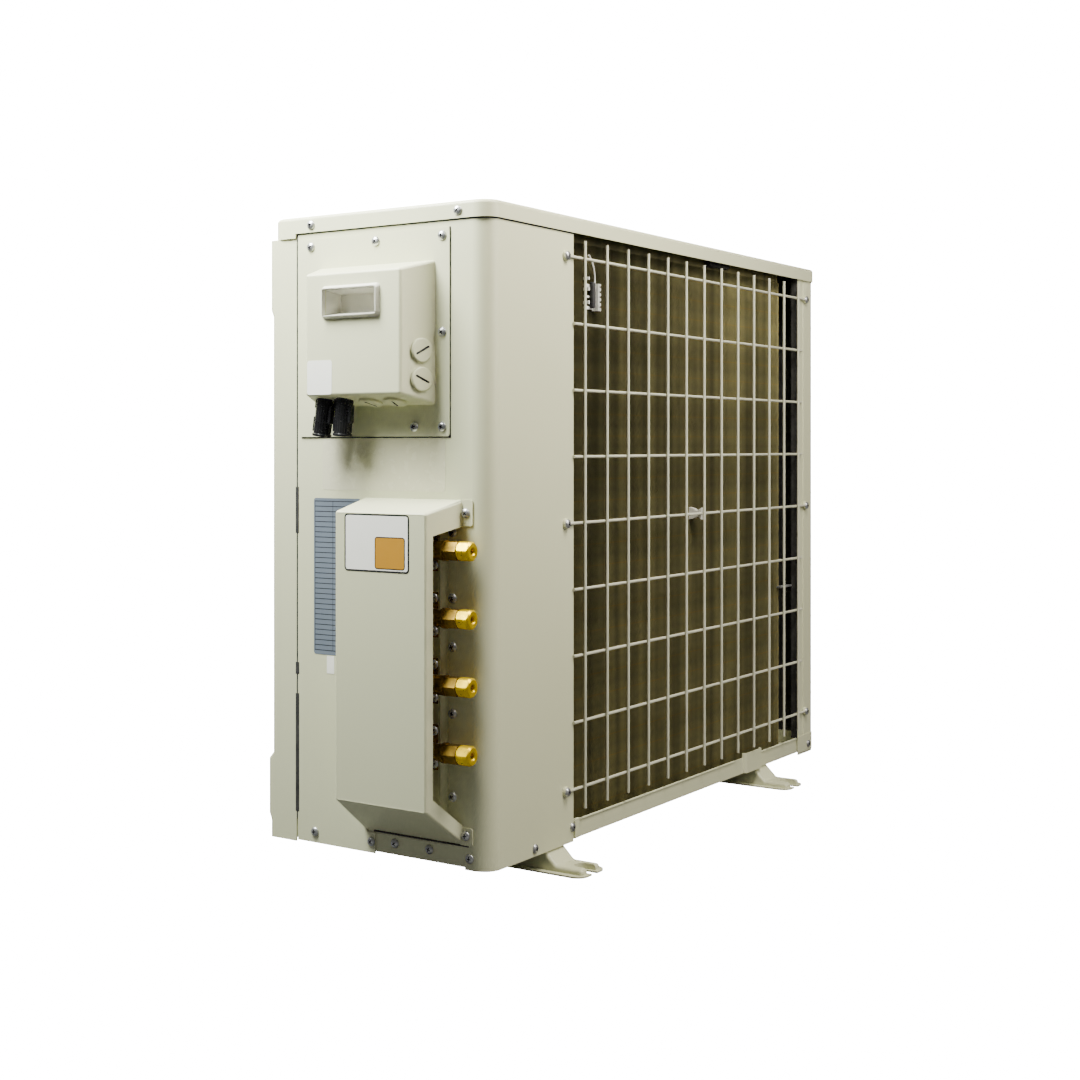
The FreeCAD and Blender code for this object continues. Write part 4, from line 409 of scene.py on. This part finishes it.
def lathed(name, rings, sides):
    """Closed turned form on the Z axis: a disc extruded and resized through (radius, height)."""
    nothing_selected()
    radius, height = rings[0]
    bpy.ops.mesh.primitive_circle_add(vertices=sides, radius=radius, fill_type="NGON",
                                      location=(0, 0, height))
    piece = started(name)
    apply_place(piece)
    mesh = edit(piece)
    pick(mesh, mesh.faces, lambda f: True)
    for wide, level in rings[1:]:
        extrude(0, 0, level - height)
        bpy.ops.transform.resize(value=(wide / radius, wide / radius, 1),
                                 center_override=(0, 0, level))
        radius, height = wide, level
    bpy.ops.mesh.select_all(action="SELECT")
    bpy.ops.mesh.normals_make_consistent(inside=False)
    edited()
    return piece


def joined(name, pieces):
    """One piece from several."""
    nothing_selected()
    for piece in pieces:
        piece.select_set(True)
    bpy.context.view_layer.objects.active = pieces[0]
    bpy.ops.object.join()
    return started(name)


def copied(pattern, name, matrix):
    """A copy with its own mesh, moved in its mesh."""
    piece = pattern.copy()
    piece.data = pattern.data.copy()
    piece.name = piece.data.name = name
    bpy.context.scene.collection.objects.link(piece)
    piece.data.transform(matrix)
    return piece


def merged_copy(node, name):
    """The node's mesh as one welded, flat-faced copy."""
    piece = copied(nodes[node], name, Matrix())
    piece.data.materials.clear()
    edit(piece)
    bpy.ops.mesh.select_all(action="SELECT")
    bpy.ops.mesh.remove_doubles(threshold=0.000005)
    bpy.ops.mesh.dissolve_limited(angle_limit=math.radians(0.5))
    edited()
    return piece


def two_tone(piece, first, second, test=lambda f: False):
    """First finish all over, and the second on the faces that pass the test."""
    piece.data.materials.clear()
    for name in (first, second):
        piece.data.materials.append(FINISHES[name])
    for face in piece.data.polygons:
        face.material_index = 1 if test(face) else 0


def dress(piece, finish=None, body="unit", replaces=()):
    """Give a finished piece its material, its body and the nodes it stands for.

    A piece that wears its materials already is given no finish.
    """
    if finish:
        piece.data.materials.clear()
        piece.data.materials.append(FINISHES[finish])
    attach(piece, body)
    if replaces:
        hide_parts(*replaces)


# ------------------------------------------------------------------ coil
COIL = {"right": 0.2405, "left": -0.4265, "back": 0.1225, "front": -0.0925, "deep": 0.022,
        "foot": 0.0355, "top": 0.678, "bend": 0.088}
FIN, FIN_PITCH, FIN_REACH = 0.0004, 0.0021, 0.004
BEND_X, BEND_Y = COIL["left"] + COIL["bend"], COIL["back"] - COIL["bend"]


def coil_core():
    """Closed core behind the fins: a flat run, swept round the bend, and the left run."""
    c = COIL
    core = block("coil_core", (BEND_X, c["back"] - c["deep"] + FIN_REACH, c["foot"]),
                 (c["right"], c["back"] - FIN_REACH, c["top"]))
    swept(core, (-1, 0, 0), 18, (BEND_X, BEND_Y))
    extrude(0, c["front"] - BEND_Y, 0)
    sealed()
    return core


def coil_fins():
    """Thin fins along the back, round the bend and along the left end, on the core."""
    c = COIL
    back = block("back_fins", (c["right"] - FIN, c["back"] - c["deep"], c["foot"]),
                 (c["right"], c["back"], c["top"]))
    repeated(back, int((c["right"] - BEND_X) / FIN_PITCH) + 1, (-FIN_PITCH, 0, 0))
    turn = block("bend_fins", (BEND_X, c["back"] - c["deep"], c["foot"]),
                 (BEND_X + FIN, c["back"], c["top"]))
    mesh = edit(turn)
    pick(mesh, mesh.faces, lambda f: True)
    bpy.ops.mesh.spin(steps=56, dupli=True, angle=-QUARTER, center=(BEND_X, BEND_Y, 0),
                      axis=(0, 0, 1))
    edited()
    side = block("end_fins", (c["left"], c["front"], c["foot"]),
                 (c["left"] + c["deep"], c["front"] + FIN, c["top"]))
    repeated(side, int((BEND_Y - c["front"]) / FIN_PITCH), (0, FIN_PITCH, 0))
    dress(joined("coil_fins", [coil_core(), back, turn, side]), "coil_fins",
          replaces=("condenser_coil",))


coil_fins()


# ------------------------------------------------------------------ screws
VALVE_FOOT, VALVE_STEP = 0.143, 0.068     # height of the lowest valve, and from one to the next
GUARD_FOOT, WIRE_STEP = 0.079, 0.0723     # height of the lowest cross wire, and to the next

FACING = {"X": Matrix.Rotation(QUARTER, 4, "Y"),
          "Y": Matrix.Rotation(-QUARTER, 4, "X")}

# The way each screw looks, and where it sits.
SCREWS = {
    "lid_screws": [("X", 0.4005, y, 0.692) for y in (-0.0925, 0.0995)],
    "cover_screws": [("X", 0.400, y, z) for y, z in (
        (-0.093, 0.668), (-0.005, 0.668), (0.080, 0.668), (0.080, 0.569), (0.080, 0.472),
        (0.045, 0.472), (0.109, 0.384), (0.109, 0.057))],
    "case_screws": [("X", SIDE, -0.0885, 0.034), ("X", SIDE, -0.012, 0.034),
                    ("X", SIDE, 0.113, 0.034), ("X", 0.397, 0.018, 0.036),
                    ("X", 0.397, 0.062, 0.036), ("Y", 0.3105, REAR, 0.030),
                    ("Y", 0.233, REAR, 0.038), ("Y", -0.4255, 0.1373, 0.032)],
    "valve_screws": [("X", 0.4004, 0.0705, VALVE_FOOT + VALVE_STEP * k + side)
                     for k in range(4) for side in (-0.017, 0.017)]
                    + [("X", SIDE, 0.092, VALVE_FOOT + VALVE_STEP * rise)
                       for rise in (-0.72, 0.53, 1.53, 2.26, 3.25)],
    "guard_screws": [("Y", x, 0.1394, GUARD_FOOT + WIRE_STEP * k)
                     for k in (0, 4, 8) for x in (-0.4143, 0.2483)],
}


def screw_head():
    """Pan head with painted shade in its cross recess, looking up +Z with its seat at the origin.
    """
    head = lathed("screw_head", [(0.0047, -0.0002), (0.0050, 0.0002), (0.0050, 0.0007),
                                 (0.0047, 0.0013), (0.0040, 0.0020), (0.0029, 0.0025),
                                 (0.0016, 0.0028), (0.0006, 0.0029)], 28)
    two_tone(head, "zinc_screw", "painted_recess_shade")
    # Each cutter's faces wear painted shade, which the cut leaves on the recess walls.
    for turn in (0, QUARTER):
        wing = block("recess", (-0.0006, -0.0024, 0.0010), (0.0006, 0.0024, 0.0040))
        wing.rotation_euler = (0, 0, turn)
        apply_place(wing)
        two_tone(wing, "zinc_screw", "painted_recess_shade", lambda f: True)
        cut_away(head, wing)
    smooth(head, 35)
    return head


def screws():
    """Every screw of the case, each turned its own way."""
    pattern = screw_head()
    for group, places in SCREWS.items():
        heads = []
        for number, (axis, x, y, z) in enumerate(places):
            turn = Matrix.Rotation(math.radians(37 * number + 11), 4, "Z")
            heads.append(copied(pattern, f"{group}_{number}",
                                Matrix.Translation((x, y, z)) @ FACING[axis] @ turn))
        dress(joined(f"{group}_heads", heads), replaces=(group,))
    thrown_away(pattern)


screws()


# ------------------------------------------------------------------ case details
def valve_housing():
    """The valve cover with its face set back by the thickness of its card."""
    cover = merged_copy("valve_cover", "valve_housing")
    mesh = edit(cover, "VERT")
    pick(mesh, mesh.verts, lambda v: v.co.x > VALVE_FACE + CARD - 0.0001)
    bpy.ops.transform.translate(value=(-CARD, 0, 0))
    edited()
    smooth(cover, 25)
    dress(cover, "paint", replaces=("valve_cover",))


def left_post():
    """The rear-left post with the shallow step in its strip, and painted shade on its inner faces.
    """
    left, right = -0.4105, -0.4005
    post = merged_copy("left_side_panel", "left_post")
    edit(post)
    for edge in (right, left):
        bpy.ops.mesh.select_all(action="SELECT")
        bpy.ops.mesh.bisect(plane_co=(edge, 0, 0), plane_no=(1, 0, 0))
    mesh = edit(post)
    pick(mesh, mesh.faces, lambda f: f.normal.y > 0.9 and middle(f).y > REAR - 0.0001
         and left - 0.0001 < middle(f).x < right + 0.0001)
    bpy.ops.mesh.inset(thickness=0.0002, depth=-0.0009)
    edited()
    smooth(post, 25)
    # Painted shade: the inner faces take the dark foam finish where the inside of the post lies in
    # shade.
    two_tone(post, "paint", "dark_foam_and_painted_shade", lambda f: f.normal.x > 0.9
             and (f.center.x < -0.44 or f.center.y < 0.1345))
    dress(post, replaces=("left_side_panel",))


def coil_head():
    """Cover strip that closes the coil's head up to the lid, with its fold at the back."""
    left = -0.335
    strip = block("coil_head", (left, 0.1190, 0.6770), (0.2400, 0.1222, 0.6995))
    swept(strip, (-1, 0, 0), 16, (left, BEND_Y))
    sealed()
    dress(softened(strip, 0.0003, 1), "coil_fins")


def guard_collars():
    """Painted collar under each screw of the rear guard."""
    collar = lathed("guard_collar", [(0.0054, -0.0005), (0.0057, 0.0), (0.0057, 0.0020),
                                     (0.0053, 0.0027), (0.0045, 0.0030)], 32)
    smooth(collar, 40)
    rings = [copied(collar, f"collar_{number}", Matrix.Translation((x, REAR, z)) @ FACING["Y"])
             for number, (_, x, _, z) in enumerate(SCREWS["guard_screws"])]
    thrown_away(collar)
    dress(joined("guard_collars", rings), "paint")


# Dark strips that stand for the shadow lines in the seams and along the plate edges.
SEAMS = (
    ((0.3960, -0.1148, 0.0465), (0.3983, -0.1122, 0.6830)),      # front panel, full height
    ((0.3962, -0.1158, 0.3570), (0.39875, -0.1112, 0.4075)),     # and where it gapes
    ((0.3962, -0.1158, 0.2030), (0.39875, -0.1108, 0.2160)),
    ((0.3962, -0.1158, 0.0530), (0.39875, -0.1108, 0.1820)),
    ((0.3983, 0.0880, 0.4612), (0.3991, 0.0898, 0.6765)),        # electrical cover, rear edge
    ((0.3983, -0.1070, 0.4607), (0.3991, 0.0898, 0.4622)),       # and lower edge
    ((0.3983, -0.0080, 0.0456), (0.4000, 0.1120, 0.0471)))       # under the valve cover


def painted_seam_shadows():
    """Dark strips that paint the shadow lines in the case's seams and under the edges of the cover
    plates.
    """
    turn, corner = 0.020, 0.1165
    lid = block("seam_shadow_strip", (SIDE - 0.0005, -0.1125, 0.6826), (SIDE + 0.0007, corner, 0.6841))
    swept(lid, (0, 1, 0), 14, (SIDE - turn, corner))
    extrude(-0.1478, 0, 0)
    sealed()
    strips = [lid, *(block("seam_shadow_strip", low, high) for low, high in SEAMS)]
    for strip in strips:
        softened(strip, 0.0002, 1)
    dress(joined("painted_seam_shadows", strips), "dark_foam_and_painted_shade")


def rim_corner():
    """The pan's corner: a thin plate over the post's foot, round to the left side."""
    bend = 0.009
    turn_x, turn_y = -0.4465 + bend, REAR - bend
    plate = block("rim_corner", (turn_x, REAR - 0.0003, 0.0232), (-0.389, REAR + 0.0008, 0.0462))
    swept(plate, (-1, 0, 0), 10, (turn_x, turn_y))
    extrude(0, -0.032, 0)
    sealed()
    dress(softened(plate, 0.0003, 2), "paint")


def rim_beads():
    """Rolled top edge of the rear rim on both sides of its bulge, and its end at the panel."""
    inner, outer = PAN_REAR - 0.0012, PAN_REAR + 0.0012
    beads = [block("bead", (-0.389, inner, 0.0424), (-0.2435, outer, 0.0448)),
             block("bead", (-0.1865, inner, 0.0424), (0.2385, outer, 0.0448)),
             block("bead", (0.2185, inner + 0.0002, 0.0245), (0.2280, outer + 0.0012, 0.0462))]
    for bead in beads:
        softened(bead, 0.0009)
    dress(joined("rim_beads", beads), "paint")


def foam_strip():
    """Sealing foam between the coil's top and the lid."""
    strip = block("foam_strip", (-0.182, 0.1225, 0.6800), (-0.124, 0.1300, 0.6912))
    edit(strip)
    bpy.ops.mesh.select_all(action="SELECT")
    bpy.ops.mesh.subdivide(number_cuts=3)
    edited()
    dress(softened(strip, 0.0012), "dark_foam_and_painted_shade")


def tie_bar():
    """Small bar that holds the coil's bend to the post, with its end turned down."""
    bar = block("tie_bar", (-0.3935, 0.1188, 0.2555), (-0.352, 0.1275, 0.2578))
    mesh = edit(bar)
    pick(mesh, mesh.faces, lambda f: f.normal.x < -0.9)
    extrude(-0.0015, 0, 0)
    extrude(0, 0, -0.006)
    edited()
    dress(softened(bar, 0.0005, 2), "galvanised")


valve_housing()
left_post()
coil_head()
guard_collars()
painted_seam_shadows()
rim_corner()
rim_beads()
foam_strip()
tie_bar()


# ------------------------------------------------------------------ plugs
def coin_plugs():
    """The blanking plugs, each on its own body, with the inside of the coin slot in shade."""
    slot_low, slot_high, slot_reach = 0.0010, 0.0034, 0.0092
    for joint in frame["joints"]:
        node = joint["name"].removesuffix("_turn")
        if "plug" not in node:
            continue
        seat, axis = Vector(joint["pos_m"]), Vector(joint["axis"])

        def in_slot(face):
            out = face.center - seat
            height = out.dot(axis)
            return slot_low < height < slot_high and (out - axis * height).length < slot_reach

        plug = merged_copy(node, f"{node}_head")
        smooth(plug, 25)
        # Painted shade inside the coin slot.
        two_tone(plug, "paint", "painted_recess_shade", in_slot)
        dress(plug, body=joint["child"], replaces=(node,))


coin_plugs()


# ------------------------------------------------------------------ cable sleeves
SLEEVE_SIDES = 44


def cable_sleeve(number, node, foot, lean):
    """Ribbed sleeve with a flared mouth, an ear and a strap with its window."""
    sleeve = lathed(f"sleeve_{number}", [
        (0.0068, 0.0450), (0.0084, 0.0446), (0.0092, 0.0430), (0.0093, 0.0040), (0.0094, 0.0030),
        (0.0103, 0.0024), (0.0104, 0.0006), (0.0100, 0.0), (0.0084, 0.0), (0.0081, 0.0010),
        (0.0079, 0.0024), (0.0052, 0.0024), (0.0050, 0.0070)], SLEEVE_SIDES)

    def rib(face):
        """Every other long face, except under the strap."""
        turn = math.atan2(middle(face).y, middle(face).x)
        return (face.calc_area() > 3e-5 and abs(face.normal.z) < 0.1
                and round(turn * SLEEVE_SIDES / 2 / math.pi - 0.5) % 2 == 0
                and not -2.2 < turn < -0.4)

    mesh = edit(sleeve)
    pick(mesh, mesh.faces, rib)
    bpy.ops.mesh.inset(thickness=0.0003, depth=0.0004, use_individual=True)
    edited()
    smooth(sleeve, 38)
    two_tone(sleeve, "black_sleeve", "sleeve_end",
             lambda f: 0.0005 < f.center.z < 0.0071 and f.center.xy.length < 0.0082)
    ear = softened(block("ear", (-0.0025, 0.0080, 0.014), (0.0045, 0.0126, 0.034)), 0.0016)
    strap = block("strap", (0.0020, -0.0098, 0.0045), (0.0064, -0.0055, 0.0385))
    strap.rotation_euler = (0, 0, math.radians(-16))
    apply_place(strap)
    cut_away(strap, block("window", (0.0020, -0.0120, 0.020), (0.0052, -0.0060, 0.029)))
    for part in (ear, softened(strap, 0.0006, 2)):
        two_tone(part, "black_sleeve", "sleeve_end")
    whole = joined(f"cable_sleeve_{number}", [sleeve, ear, strap])
    whole.data.transform(Matrix.Translation(foot) @ Matrix.Rotation(math.radians(-lean), 4, "X"))
    dress(whole, replaces=(node,))


cable_sleeve(1, "cable_sleeve_front", (0.4225, -0.0600, 0.4625), 8.0)
cable_sleeve(2, "cable_sleeve_rear", (0.4225, -0.0322, 0.4625), 4.5)


# ------------------------------------------------------------------ sensor clip
def sensor_clip():
    """Comb clip on the coil's face with the sensor bulb and its curved lead."""
    gap_foot, gap_step, gap_height = 0.6072, 0.0056, 0.0020
    comb = block("comb", (0.1595, COIL_FACE, 0.6035), (0.1662, COIL_FACE + 0.0085, 0.6340))
    gaps = [block("gap", (0.1580, COIL_FACE + 0.0030, low),
                  (0.1628, COIL_FACE + 0.0100, low + gap_height))
            for low in (gap_foot + gap_step * k for k in range(5))]
    cut_away(comb, joined("gaps", gaps))
    parts = [softened(comb, 0.0004, 2)]
    bars = [(0.1650, 0.1850, 0.0016, *levels)
            for levels in ((0.6050, 0.6085), (0.6180, 0.6205), (0.6300, 0.6335))]
    lugs = [(0.1832, 0.1858, 0.0075, *levels)
            for levels in ((0.6100, 0.6140), (0.6250, 0.6290), (0.6370, 0.6405))]
    for left, right, proud, low, high in bars + lugs:
        clip = block("clip", (left, COIL_FACE, low), (right, COIL_FACE + proud, high))
        parts.append(softened(clip, 0.0005, 2))

    lead_x, lead_top, lead_bend = 0.1690, 0.6380, 0.034
    lead = lathed("lead", [(0.0011, 0), (0.0011, 0.010)], 12)
    lead.data.transform(Matrix.Translation((lead_x, COIL_FACE + 0.0055, lead_top - 0.010)))
    mesh = edit(lead)
    pick(mesh, mesh.faces, lambda f: middle(f).z > lead_top - 0.0001)
    bpy.ops.mesh.spin(steps=12, angle=math.radians(-52), center=(lead_x + lead_bend, 0, lead_top),
                      axis=(0, 1, 0))
    edited()
    smooth(lead, 50)
    parts.append(lead)
    for part in parts:
        two_tone(part, "sensor_plastic", "black_plastic")

    bulb = lathed("bulb", [(0.0010, 0.6062), (0.0030, 0.6070), (0.0034, 0.6090), (0.0034, 0.6330),
                           (0.0030, 0.6350), (0.0012, 0.6358)], 20)
    bulb.data.transform(Matrix.Translation((0.1715, COIL_FACE + 0.0040, 0)))
    smooth(bulb, 40)
    two_tone(bulb, "sensor_plastic", "black_plastic", lambda f: True)
    dress(joined("sensor_clip", [*parts, bulb]),
          replaces=("coil_sensor",))


sensor_clip()


# ------------------------------------------------------------------ stickers
def sticker_paper(name, colour, rough=0.4):
    """Printed paper or foil in one colour."""
    return drifting_finish(name, tuple(c * 0.95 for c in colour), colour, rough, drift=20,
                           grain=700, depth=0.00003, strength=0.2)


def sticker(name, x, front, rear, low, high, finish, thick=0.00025, corner=0.003,
            border=None, border_finish=None):
    """Thin plain card on a face that looks toward +X, its corners rounded."""
    card = block(name, (x - 0.0001, front, low), (x + thick, rear, high))
    mesh = edit(card, "EDGE")
    pick(mesh, mesh.edges, lambda e: abs(e.verts[0].co.x - e.verts[1].co.x) > 1e-5)
    bpy.ops.mesh.bevel(offset=corner, segments=5, affect="EDGES")
    edited()
    card.data.materials.append(finish)
    if border:
        card.data.materials.append(border_finish)
        mesh = edit(card)
        pick(mesh, mesh.faces, lambda f: f.normal.x > 0.9)
        bpy.ops.mesh.inset(thickness=border, depth=0)
        mesh = bmesh.from_edit_mesh(card.data)
        for face in mesh.faces:
            face.material_index = 0 if face.select else 1
        bmesh.update_edit_mesh(card.data)
        edited()
    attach(card, "unit")


def stickers():
    """Plain blank stickers where the unit carries its notes."""
    white = sticker_paper("white_sticker", (0.90, 0.895, 0.83))
    black = sticker_paper("black_print", (0.012, 0.012, 0.012))
    amber = sticker_paper("amber_print", (0.46, 0.215, 0.001), 0.8)
    silver = sticker_paper("grey_blue_foil", (0.150, 0.180, 0.225), 0.42)
    rule = sticker_paper("dark_rule", (0.022, 0.025, 0.032), 0.5)
    clear = sticker_paper("clear_film", (0.655, 0.640, 0.465), 0.24)
    sticker("note_film", SIDE, -0.078, 0.083, 0.405, 0.460, clear, thick=0.00015)
    sticker("rating_foil", SIDE, -0.090, -0.026, 0.227, 0.396, silver)
    sticker("small_sticker", SIDE, -0.072, -0.062, 0.207, 0.226, white, corner=0.001)
    sticker("box_sticker", BOX_FACE, -0.065, -0.032, 0.506, 0.542, white)
    sticker("valve_sticker", VALVE_FACE, -0.009, 0.073, 0.324, 0.383, white, corner=0.004,
            border=0.0017, border_finish=black)
    sticker("valve_sticker_block", VALVE_FACE + 0.00024, 0.030, 0.068, 0.327, 0.360, amber,
            thick=0.00005, border=0.0011, border_finish=black)

    under, over, foot = SIDE + 0.0001, SIDE + 0.0003, 0.2312
    rows = block("rows", (under, -0.0885, foot), (over, -0.0275, foot + 0.0009))
    repeated(rows, 30, (0, 0, 0.00555))
    columns = [block("column", (under, y, foot), (over, y + 0.0005, 0.3926))
               for y in (-0.0885, -0.064, -0.028)]
    ruled = joined("foil_rules", [rows, *columns])
    ruled.data.materials.append(rule)
    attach(ruled, "unit")


stickers()


# ------------------------------------------------------------------ studio
def by_ray(made, socket, shown, cast):
    """One number as seen and another as light or reflection on the object."""
    rays = made.node_tree.nodes.new("ShaderNodeLightPath")
    fit = made.node_tree.nodes.new("ShaderNodeMapRange")
    fit.inputs["To Min"].default_value = cast
    fit.inputs["To Max"].default_value = shown
    link(made, rays.outputs["Is Camera Ray"], fit.inputs["Value"])
    link(made, fit.outputs["Result"], socket)


COOL, EVEN, WARM = (0.97, 1.0, 0.95), (1, 1, 1), (1.0, 0.955, 0.87)
# Name, place, point it looks at, width, watts, tint.
SOFT_BOXES = (
    ("key_box", (0.85, -0.36, 1.20), (0.40, 0.0, 0.62), 0.45, 31, COOL),
    ("near_box", (0.62, -0.15, 1.12), (0.40, 0.0, 0.60), 0.3, 13, COOL),
    ("rear_right_box", (0.28, 0.62, 1.25), (0.28, 0.12, 0.62), 0.4, 20, WARM),
    ("rear_left_box", (-0.08, 1.30, 1.05), (-0.05, 0.12, 0.50), 0.6, 12, WARM),
    ("rear_fill_box", (-0.1, 2.5, 0.95), (0, 0.13, 0.40), 1.4, 3.2, WARM),
    ("front_box", (-0.50, -1.9, 1.9), (0, -0.1, 0.35), 1.5, 75, EVEN),
    ("left_box", (-2.1, -0.7, 1.9), (-0.4, 0, 0.35), 1.2, 30, EVEN))


def studio():
    """Pale floor, even surroundings and soft boxes overhead."""
    nothing_selected()
    bpy.ops.mesh.primitive_circle_add(vertices=96, radius=9, fill_type="NGON",
                                      location=(0, 0, 0))
    floor = started("pale_floor")
    made, shader, _ = new_finish("pale_floor_paint", (0.42, 0.42, 0.415), 0.9)
    by_ray(made, shader.inputs["Base Color"], 0.85, 0.06)
    shader.inputs["Emission Color"].default_value = (1, 1, 1, 1)
    by_ray(made, shader.inputs["Emission Strength"], 18.0, 0.0)
    floor.data.materials.append(made)
    world = bpy.data.worlds.new("even_surroundings")
    world.use_nodes = True
    sky = world.node_tree.nodes["Background"]
    sky.inputs["Color"].default_value = (1, 1, 1, 1)
    by_ray(world, sky.inputs["Strength"], 20.0, 0.115)
    bpy.context.scene.world = world
    for name, spot, aim, size, power, tint in SOFT_BOXES:
        bpy.ops.object.light_add(type="AREA", location=spot)
        lamp = bpy.context.object
        lamp.name = name
        lamp.data.size = size
        lamp.data.energy = power
        lamp.data.color = tint
        lamp.visible_camera = False
        way = Vector(aim) - Vector(spot)
        lamp.rotation_euler = way.to_track_quat("-Z", "Y").to_euler()


studio()
